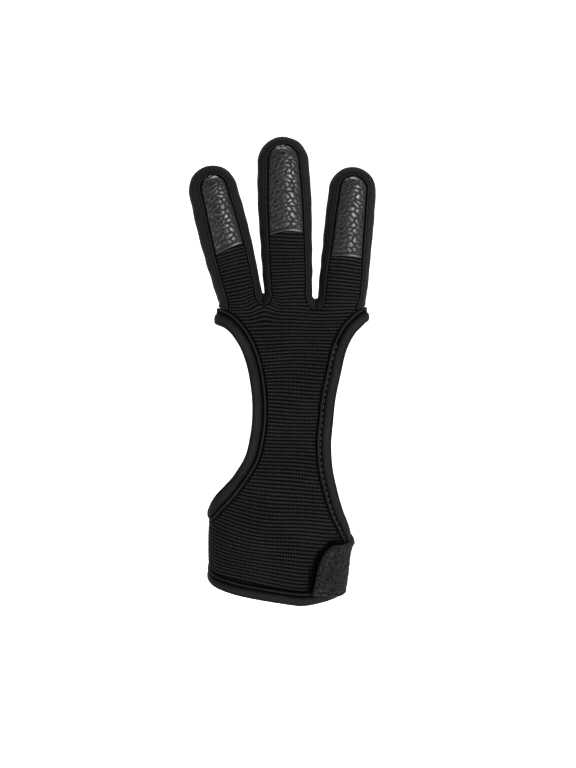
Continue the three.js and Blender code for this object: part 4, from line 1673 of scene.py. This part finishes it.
@dataclass
class SeamTapes:
    """Flat tapes inside the glove that bridge its seams, as its seam allowances do, in mm."""

    form: Form
    thick: float = 0.3
    deep: float = 2.85
    overlap: float = 4.6

    def ribbon(self, shell: Shell, path: Array, lateral: Array, inward: Array,
               sides: tuple[float, float], depth: float, ring: bool = False) -> None:
        """Adds one flat tape: a flattened oval carried along a path.

        Args:
            shell: The mesh that takes it.
            path: The seam's points.
            lateral: Unit directions across the seam.
            inward: Unit directions into the glove.
            sides: The tape's two edges, measured across.
            depth: How deep its middle lies.
            ring: True where the path closes on itself.
        """
        turn = np.linspace(0, 2 * np.pi, 13)[:-1]
        flat = np.sign(np.cos(turn)) * np.abs(np.cos(turn)) ** 0.35
        place = (sides[0] + sides[1]) / 2 + (sides[1] - sides[0]) / 2 * flat
        rise = depth + self.thick / 2 * np.sin(turn)
        points = (path[:, None] + lateral[:, None] * place[None, :, None]
                  + inward[:, None] * rise[None, :, None])
        cloth = np.zeros((*points.shape[:2], 2))
        # The tapes are painted dark, a fifth of the relief, as painted shade inside the seams and
        # webs.
        index = shell.grid(points, cloth, np.full(points.shape[:2], 0.2), ring_rows=ring,
                           ring_columns=True)
        if not ring:
            step = np.arange(5)
            for row, turned in ((index[0], True), (index[-1], False)):
                shell.strip(row[step], row[step + 1], row[10 - step], row[11 - step], turned)

    def on_hand(self, shell: Shell, angle: Array, height: Array, lateral: Array,
                sides: tuple[float, float], depth: float, ring: bool) -> None:
        """Adds a tape along a line on the hand's tube.

        Args:
            shell: The mesh that takes it.
            angle: The line's angles.
            height: Its heights, in mm.
            lateral: Directions across it.
            sides: The tape's two edges, measured across.
            depth: How deep its middle lies.
            ring: True where the line closes on itself.
        """
        hand = self.form.hand
        self.ribbon(shell, hand.face(angle, height), unit(lateral), -hand.outwards(angle, height),
                    sides, depth, ring)

    def hand_seams(self) -> bpy.types.Object:
        """The tapes behind the two openings' tapes, the wrist's hem and the side seam.

        Returns:
            The new object.
        """
        form, hand, shell = self.form, self.form.hand, Shell()
        stations = 361
        for opening, slit in ((form.pinky, 0.0), (form.thumb, 0.03)):
            ring = slit == 0
            turn = np.linspace(-np.pi + slit, np.pi - slit, stations)[: stations - ring]
            angle, height = opening.inset(turn, form.panel_inset - form.tape_gap / 2)
            away = hand.face(*opening.inset(turn, 8.0)) - hand.face(*opening.inset(turn, 5.5))
            self.on_hand(shell, angle, height, away, (-2.4, 1.6), self.deep, ring)
        around = np.radians(np.linspace(92, 448, 300))
        level = np.full(300, form.hem_width + form.hem_gap / 2)
        up = hand.face(around, level + 1) - hand.face(around, level - 1)
        self.on_hand(shell, around, level, up, (-1.4, 1.5), self.deep, False)
        level = np.linspace(form.hem_width + 2.2, form.pinky.bottom - form.panel_inset - 2.2, 60)
        seam = np.full(60, -QUARTER)
        side = hand.face(seam + 0.02, level) - hand.face(seam - 0.02, level)
        self.on_hand(shell, seam, level, side, (-1.4, 1.4), 2.35, False)
        return shell.build("hand_seam_tapes")

    def finger_seams(self, finger: Finger) -> bpy.types.Object:
        """The tapes behind one finger's two long seams, below its pad and in the crotches.

        Args:
            finger: The finger.

        Returns:
            The new object.
        """
        form, shell = self.form, Shell()
        strip = SideStrip(form, finger)
        lines = strip.whole(np.array([-QUARTER, QUARTER]), np.zeros(1))
        for column, face in ((0, Face.BACK), (1, Face.PALM)):
            path = lines[:, column]
            inward = np.array([0.0, -face.value, 0.0])
            on = [unit(path[end] - path[beside]) * self.overlap + inward * 0.7
                  for end, beside in ((0, 9), (-1, -10))]
            path = np.concatenate([[path[0] + on[0]], path, [path[-1] + on[1]]])
            inward = np.broadcast_to(inward, path.shape)
            ahead = np.gradient(path, axis=0)
            inner = unit(np.cross(ahead, inward)) * -face.value
            self.ribbon(shell, path, inner, inward, (-1.0, 1.5), 2.4)
        across = np.linspace(0.03, 0.97, 24)
        share = finger.hem_share(across) - form.seam_gap / 2 / finger.length
        path = form.finger_face(finger, Face.PALM, share, np.zeros(24), across)
        up = np.broadcast_to([finger.along[0], 0.0, finger.along[1]], path.shape)
        inward = np.broadcast_to([0.0, 1.0, 0.0], path.shape)
        self.ribbon(shell, path, up, inward, (-1.3, 1.3), 2.0)
        return shell.build(f"{finger.name}_seam_tapes")

    def web_seam(self, finger: Finger) -> bpy.types.Object:
        """The tape across the web between this finger and the next, round from back to palm.

        Args:
            finger: The one of the two nearer the little finger's side.

        Returns:
            The new object.
        """
        shell = Shell()
        turn = np.radians(np.linspace(-88, 88, 40))
        strip = SideStrip(self.form, finger)
        share = np.array([0.0, 0.001])
        path, outer = (
            strip.half(1, share, np.zeros(2), turn, np.full((2, 40), wall))[0]
            for wall in (3.0, 0.0)
        )
        inward = unit(path - outer)
        below = np.array([0.0, 0.0, -1.8])
        path = np.concatenate([path[:1] + below, path, path[-1:] + below])
        inward = np.concatenate([inward[:1], inward, inward[-1:]])
        sideways = np.broadcast_to([1.0, 0.0, 0.0], path.shape)
        self.ribbon(shell, path, sideways, inward, (-1.0, 1.6), 0.0)
        self.ribbon(shell, outer, sideways[1:-1], unit(path[1:-1] - outer), (-0.45, 0.77), -0.24)
        return shell.build(f"{finger.name}_web_tape")


@dataclass(frozen=True)
class TapeSection:
    """The closed section of a folded tape: a soft band, a sewn groove and a thin piping.

    Places are shares of the width from the open edge; lifts are in mm over the panel's face.
    Points is how many the upper side gets.
    """

    over: tuple[tuple[float, float], ...] = (
        (0.0, -1.0), (0.012, -0.45), (0.05, 0.2), (0.12, 0.62), (0.24, 0.88), (0.38, 0.94),
        (0.52, 0.82), (0.63, 0.5), (0.69, 0.05), (0.735, -0.5), (0.79, -0.62), (0.825, -0.45),
        (0.85, 0.1), (0.88, 0.48), (0.915, 0.58), (0.95, 0.42), (0.975, 0.05), (0.99, -0.35),
        (1.0, -0.8),
    )
    under: tuple[tuple[float, float], ...] = (
        (0.99, -1.5), (0.93, -1.95), (0.7, -2.15), (0.4, -2.3), (0.14, -2.2), (0.04, -1.8),
    )
    # shade is painted light and shade across the tape: dark at the open edge and in the sewn
    # groove, painted highlights on the band and the piping.
    shade: Curve = Curve((0, 0.1, 0.22, 0.36, 0.52, 0.64, 0.72, 0.8, 0.86, 0.915, 0.96, 1),
                         (0.1, 0.3, 0.56, 0.66, 0.56, 0.36, 0.1, 0.03, 0.4, 1, 0.55, 0.05))
    points: int = 46

    def rounds(self) -> tuple[Array, Array, Array, Array]:
        """The section's points: a smooth curve over the top and straight steps underneath.

        Returns:
            The places, the lifts and the painted light and shade of each point, going round, and
            how much of the soft band it has, from 1 down to 0 at the groove and on the under side.
        """
        place, lift = np.array(self.over).T
        knots = np.arange(len(place)) / (len(place) - 1)
        steps = np.linspace(0, 1, self.points)
        across = Curve(tuple(knots), tuple(place)).at(steps)
        above = Curve(tuple(knots), tuple(lift)).at(steps)
        relief = self.shade.at(across)
        below = np.array(self.under)
        place = np.concatenate([across, below[:, 0]])
        lift = np.concatenate([above, below[:, 1]])
        band = smooth((0.66 - place) / 0.2) * (lift > -0.5)
        return place, lift, np.concatenate([relief, np.full(len(below), 0.3)]), band

    def cap(self, shell: Shell, index: Array) -> None:
        """Closes a tape's two ends by quads between its upper and its under side.

        Args:
            shell: The mesh that holds the tape.
            index: Its points, stations by section.
        """
        low = np.linspace(0, len(self.under) - 1, self.points).round().astype(int)
        for row, turned in ((index[0], True), (index[-1], False)):
            upper, lower = row[: self.points], row[self.points :][::-1][low]
            shell.strip(upper[:-1], upper[1:], lower[1:], lower[:-1], turned)


@dataclass
class OpeningTape:
    """The folded tape round a side opening; with a slit it ends on both sides of the wrist."""

    form: Form
    name: str
    opening: Opening
    slit: bool
    top_slack: float
    flat_ends: float = 0.85
    stations: int = 420
    section: TapeSection = TapeSection()

    def turns(self) -> Array:
        """The stations' turns, from the bottom up the back, over the top and down the palm.

        Returns:
            The turns in radians.
        """
        if not self.slit:
            return np.linspace(-np.pi, np.pi, self.stations + 1)[:-1]
        return np.linspace(-np.pi + 0.025, np.pi - 0.025, self.stations)

    def build(self) -> bpy.types.Object:
        """Carries the section round the opening, with fine wrinkles where the edge turns in.

        Returns:
            The new object.
        """
        place, lift, relief, band = self.section.rounds()
        turn = self.turns()[:, None]
        width = self.form.tape_width
        edge = self.form.hand.face(*self.opening.edge(turn))
        along = np.broadcast_to(lengths_along(edge, 0), (len(turn), len(place)))
        low = bump(turn, 2.2, 0.45) * (self.opening.side < 0)
        wrinkle = np.sin(2 * np.pi * (along + 0.35 * place * width) / 1.35) * 0.1 * low
        uneven = 0.06 * ripples(along, place[None, :] * width, 9.0, 21)
        ends = bump(turn, 0.0, 0.2) + bump(np.abs(turn), np.pi, 0.12)
        flat = 0.2 - 0.5 * smooth((place - 0.85) / 0.15)
        level = np.where((place > 0.6) & (lift > -1.2), flat, lift)
        lift = mix(lift[None, :], level[None, :], self.flat_ends * ends)
        raised = lift + band[None, :] * (wrinkle + uneven)
        slack = self.top_slack * (1 - place[None, :]) * bump(turn, 0.0, 0.32)
        angle, height = self.opening.inset(turn, place[None, :] * width - slack)
        points = self.form.hand.lifted(angle, height, raised)
        cloth = np.stack(np.broadcast_arrays(along, place[None, :] * width), -1)
        # Painted light and shade: the section's painted shade, lighter on the tops of the wrinkles
        # and the unevenness and darker in their troughs.
        shade = relief[None, :] * (1 + band[None, :] * (uneven + 2.0 * wrinkle))
        shell = Shell()
        index = shell.grid(points, cloth, shade, ring_rows=not self.slit, ring_columns=True)
        if self.slit:
            self.section.cap(shell, index)
        return shell.build(f"{self.name}_folded_tape")


@dataclass
class WristHem:
    """The folded tape round the wrist's edge, open under the closure tab."""

    form: Form
    stations: int = 360
    section: TapeSection = TapeSection()

    def build(self) -> bpy.types.Object:
        """Carries the tape's section round the wrist, its piping on top.

        Returns:
            The new object.
        """
        form = self.form
        place, lift, relief, band = self.section.rounds()
        slack = form.slit_gap / form.hand.wrist_depth
        angle = QUARTER + slack + np.linspace(0, 1, self.stations)[:, None] * (
            2 * np.pi - 2 * slack)
        height = place[None, :] * form.hem_width
        edge = form.hand.face(angle, np.zeros_like(angle))
        along = np.broadcast_to(lengths_along(edge, 0), (len(angle), len(place)))
        uneven = 0.07 * ripples(along, height, 12.0, 33) * band[None, :]
        points = form.hand.lifted(angle, height, lift[None, :] * 0.9 + uneven)
        cloth = np.stack(np.broadcast_arrays(along, height), -1)
        shell = Shell()
        index = shell.grid(points, cloth, relief[None, :], ring_columns=True)
        self.section.cap(shell, index)
        return shell.build("wrist_folded_hem")


@dataclass
class ClosureTab:
    """The tab of loop cloth that closes the wrist, in mm; angles are in degrees."""

    form: Form
    top: float = 26.0
    root: float = 128.0
    lift: float = 1.35
    curl: float = 0.5
    wall: float = 1.8
    sewn_at: float = 1.75
    nap: float = 0.1
    rows: int = 90
    columns: int = 190
    edge: Curve = Curve((0, 0.25, 0.5, 0.72, 0.9, 1), (31, 32.2, 33.5, 35.7, 38.5, 42.5))
    foot: Curve = Curve((0, 0.07, 0.16, 0.3, 1), (4.4, 3.9, 2.4, 1.7, 1.4))

    def place(self, up: Array, along: Array) -> tuple[Array, Array]:
        """The angle and height on the wrist at shares up the tab and along it."""
        angle = np.radians(mix(self.edge.at(up), self.root, along))
        return angle, mix(self.foot.at(along), self.top, up)

    def distance(self, face: Face, angle: Array, height: Array) -> Array:
        """How far points of the hand's face lie from the tab, in mm; 0 under it.

        Args:
            face: The palm's or the back's side.
            angle: Angles, folded to the palm.
            height: Heights up the tube, in mm.

        Returns:
            The distances, from steps round the wrist and above the tab's top.
        """
        low = self.foot.at(0)
        side = self.edge.at((height - low) / (self.top - low)) if face is Face.PALM else (
            180 - self.root)
        radius = self.form.hand.wrist_depth * 0.62
        beside = (np.radians(side) - angle) * radius
        return np.hypot(np.maximum(beside, 0), np.maximum(height - self.top, 0))

    def build(self) -> bpy.types.Object:
        """Builds the tab: a napped face, a sewn line inside its border and rounded edges.

        Returns:
            The new object.
        """
        up = np.linspace(0, 1, self.rows + 1)[:, None]
        along = (np.linspace(0, 1, self.columns + 1) ** 1.15)[None, :]
        angle, height = self.place(up, along)
        hand = self.form.hand
        lift = self.lift + self.curl * (1 - smooth(along / 0.3)) * smooth(up / 0.3)
        face = hand.lifted(angle, height, lift + self.wall)
        run, rise = lengths_along(face, 1), lengths_along(face, 0)
        border = np.minimum(np.minimum(run, rise), rise[-1:] - rise)
        sewn = bump(border, self.sewn_at, 0.22)
        inner_line = bump(run, 9.5 - 4.0 * (2 * up - 1.05) ** 2, 0.28) * smooth(up / 0.15)
        nap = self.nap * ripples(run, rise, 1.1, 41) + self.nap * ripples(run, rise, 2.6, 42)
        rounded = -0.7 * bump(border, 0.0, 0.35)
        raised = lift + self.wall + nap + rounded - 0.3 * sewn - 0.18 * inner_line
        outer = hand.lifted(angle, height, raised)
        inner = hand.lifted(angle, height, lift)
        # The relief is darker along the sewn line, painted shade darkens the rounded rim, and a
        # speckled band inside the border is lighter.
        fuzz_and_rim_shade = 0.2 * smooth(1 - border / 1.6) - 0.3 * smooth(1 - border / 0.25)
        specks = np.clip(0.5 + 0.9 * ripples(run, rise, 1.1, 43), 0, 1.4)
        fuzz_and_rim_shade = fuzz_and_rim_shade + 0.5 * specks * bump(border, 2.2, 0.4)
        relief = np.clip(0.4 + fuzz_and_rim_shade + 0.5 * nap - 0.3 * sewn + 0.3 * inner_line * specks, 0, 1)
        shell = Shell()
        # The under side gets no relief, so it and the rims are black: a painted shadow under the
        # tab's edge.
        shell.sheet(outer, inner, np.stack([run, rise], -1), relief, (True,) * 4, under=0.0)
        return shell.build("closure_tab_loop_cloth")


@dataclass
class Stitching:
    """A row of stitches: small capsules laid end to end along a line, in mm."""

    name: str
    path: Array
    outwards: Array
    length: float
    gap: float
    radius: float = 0.2

    def build(self) -> bpy.types.Object:
        """Lays a capsule on each stitch: circles whose radius falls to nothing at both ends.

        The stitches' middles are even steps along the path; each takes its direction from the
        path and its height from the outward directions there.

        Returns:
            The new object.
        """
        run = lengths_along(self.path[None], 1)[0]
        pitch = self.length + self.gap
        middles = np.arange(pitch / 2, run[-1], pitch)

        def read(values: Array, places: Array) -> Array:
            """The path's values at places along it."""
            return np.stack([np.interp(places, run, values[:, k]) for k in range(3)], -1)

        centre, out = read(self.path, middles), unit(read(self.outwards, middles))
        ahead = unit(read(self.path, middles + 0.2) - read(self.path, middles - 0.2))
        across = np.cross(ahead, out)
        turn = np.linspace(0, np.pi, 7)
        roundness = np.linspace(0, 2 * np.pi, 7)[:-1]
        reach = -np.cos(turn) * self.length / 2
        size = self.radius * np.sin(turn) ** 0.6
        size[0] = size[-1] = self.radius * 0.15
        shell = Shell()
        ring = (
            centre[:, None, None] + ahead[:, None, None] * reach[None, :, None, None]
            + (across[:, None, None] * np.cos(roundness)[None, None, :, None]
               + out[:, None, None] * np.sin(roundness)[None, None, :, None])
            * size[None, :, None, None]
        )
        flat = np.zeros(ring.shape[1:3])
        for stitch in ring:
            index = shell.grid(stitch, np.zeros((*flat.shape, 2)), flat + 1, ring_columns=True)
            for row, turned in ((index[0], True), (index[-1], False)):
                shell.strip(row[[0]], row[[1]], row[[2]], row[[3]], turned)
                shell.strip(row[[3]], row[[4]], row[[5]], row[[0]], turned)
        return shell.build(self.name)


# The studio

@dataclass
class Studio:
    """A pale floor that sweeps up behind the glove, soft lamps and the camera, in metres."""

    floor: float = -0.088
    camera: Triple = (0.00623, -0.9, 0.0898)
    lens: float = 95.9
    middle: Triple = (0.0, 0.0, 0.09)
    paper_glow: float = 0.55
    surroundings: float = 0.08

    def sweep(self) -> None:
        """The floor and the backdrop: a flat run, a quarter circle and an upright run."""
        turn = np.linspace(0, QUARTER, 24)
        y = np.concatenate([[-2.2], 1.0 + 0.7 * np.sin(turn), [1.7]])
        z = np.concatenate([[0.0], 0.7 - 0.7 * np.cos(turn), [3.2]]) + self.floor
        x = np.array([-3.0, 3.0])
        grid = np.stack(np.broadcast_arrays(x[None, :], y[:, None], z[:, None]), -1)
        quads = quads_between(np.arange(len(y) * 2).reshape(-1, 2))
        made = add_object("sweep", smooth_mesh("sweep", grid.reshape(-1, 3), quads.tolist()))
        shader = Shader("pale_paper", Specular_IOR_Level=0.1)
        shader.surface.inputs["Emission Color"].default_value = (1, 1, 1, 1)
        shader.surface.inputs["Emission Strength"].default_value = self.paper_glow
        grain = shader.rough(400.0, 2.0, 0.0001, 0.2)
        made.data.materials.append(shader.wear((0.9, 0.9, 0.9, 1), 0.9, grain))

    def lamp(self, name: str, place: Triple, size: tuple[float, float], power: float,
             target: Triple) -> None:
        """A soft rectangular lamp that faces a target.

        Args:
            name: The lamp's name.
            place: Where it stands.
            size: Its width and height.
            power: Its power in watts.
            target: The point that it faces.
        """
        light = bpy.data.lights.new(name, "AREA")
        light.shape = "RECTANGLE"
        light.size, light.size_y = size
        light.energy = power
        made = add_object(name, light)
        made.location = place
        away = Vector(place) - Vector(target)
        made.rotation_euler = away.to_track_quat("Z", "Y").to_euler()

    def build(self) -> None:
        """Builds the sweep, the lamps, the dim surroundings and the camera."""
        self.sweep()
        self.lamp("key", (0.6, -1.1, 0.4), (0.24, 0.7), 13.0, self.middle)
        self.lamp("fill", (-1.2, -0.5, 0.35), (0.4, 0.8), 0.5, self.middle)
        self.lamp("top", (0.0, 0.35, 1.4), (1.2, 0.7), 9.0, self.middle)
        self.lamp("back", (-0.45, 1.0, 0.6), (0.5, 0.5), 4.0, self.middle)
        self.lamp("backdrop", (0.0, 0.9, 1.6), (2.4, 0.8), 22.0, (0.0, 1.7, 0.3))
        scene = bpy.context.scene
        world = bpy.data.worlds.new("surroundings")
        world.use_nodes = True
        background = world.node_tree.nodes["Background"]
        background.inputs["Color"].default_value = (1, 1, 1, 1)
        background.inputs["Strength"].default_value = self.surroundings
        scene.world = world
        scene.view_settings.view_transform = "Standard"
        data = bpy.data.cameras.new("camera")
        data.sensor_width, data.lens = 36.0, self.lens
        camera = add_object("camera", data)
        camera.location = self.camera
        camera.rotation_euler = (QUARTER, 0, 0)
        scene.camera = camera


def tab_stitches(tab: ClosureTab) -> Stitching:
    """The stitches just inside the tab's free edge.

    Args:
        tab: The closure tab.

    Returns:
        The row of stitches.
    """
    up = np.linspace(0.06, 0.93, 60)
    angle, height = tab.place(up, np.full(60, 0.055))
    hand = tab.form.hand
    lift = tab.lift + tab.wall + tab.curl * smooth(up / 0.3) * 0.9 - 0.12
    path = hand.lifted(angle, height, lift)
    return Stitching("closure_tab_stitches", path, hand.outwards(angle, height), 1.5, 0.8)


def tape_stitches(tape: OpeningTape) -> Stitching:
    """The stitches in the thumb tape's groove, down the palm side.

    Args:
        tape: The thumb opening's tape.

    Returns:
        The row of stitches.
    """
    turn = np.linspace(0.75, 2.75, 160)
    angle, height = tape.opening.inset(turn, np.full(160, 0.775 * tape.form.tape_width))
    hand = tape.form.hand
    path = hand.lifted(angle, height, -0.42)
    return Stitching("thumb_tape_stitches", path, hand.outwards(angle, height), 1.6, 1.1)


def main() -> None:
    """Builds the glove's pieces in order, dresses them and sets up the studio."""
    logging.basicConfig(level=logging.INFO, format="%(message)s")
    ribbed, smooth_knit = RibbedKnit().material(), SmoothKnit().material()
    leather, loops = PebbledLeather().material(), LoopCloth().material()
    thread = Thread().material()
    tab = ClosureTab(FORM)
    for face, node, row_step, flat, area in (
        (Face.PALM, "palm_panel", 0.25, (0.075, 0.15), 0.0062),
        (Face.BACK, "back_panel", 0.3, (0.075, 0.2), 0.0072),
    ):
        panel = RibbedPanel(FORM, face, tab, row_step)
        piece = finish_piece(panel.build(), ribbed, Slot.RIBBED, node)
    for finger in FORM.fingers:
        strip = SideStrip(FORM, finger).build()
        finish_piece(strip, smooth_knit, Slot.SMOOTH, f"{finger.name}_side_strip")
        pad = LeatherPad(FORM, finger).build()
        finish_piece(pad, leather, Slot.LEATHER, f"{finger.name}_pad")
    pinky = OpeningTape(FORM, "pinky", FORM.pinky, False, 1.3)
    thumb = OpeningTape(FORM, "thumb", FORM.thumb, True, 0.3)
    for tape in (pinky, thumb):
        finish_piece(tape.build(), smooth_knit, Slot.SMOOTH, f"{tape.name}_opening_binding")
    finish_piece(WristHem(FORM).build(), smooth_knit, Slot.SMOOTH, "wrist_hem")
    tapes = SeamTapes(FORM)
    finish_piece(tapes.hand_seams(), smooth_knit, Slot.SMOOTH)
    for finger in FORM.fingers:
        finish_piece(tapes.finger_seams(finger), smooth_knit, Slot.SMOOTH)
    for finger in FORM.fingers[:2]:
        finish_piece(tapes.web_seam(finger), smooth_knit, Slot.SMOOTH)
    finish_piece(tab.build(), loops, Slot.LOOP, "closure_tab")
    finish_piece(tab_stitches(tab).build(), thread, Slot.LOOP)
    finish_piece(tape_stitches(thumb).build(), thread, Slot.SMOOTH)
    Studio().build()


if __name__ == "__main__":
    main()
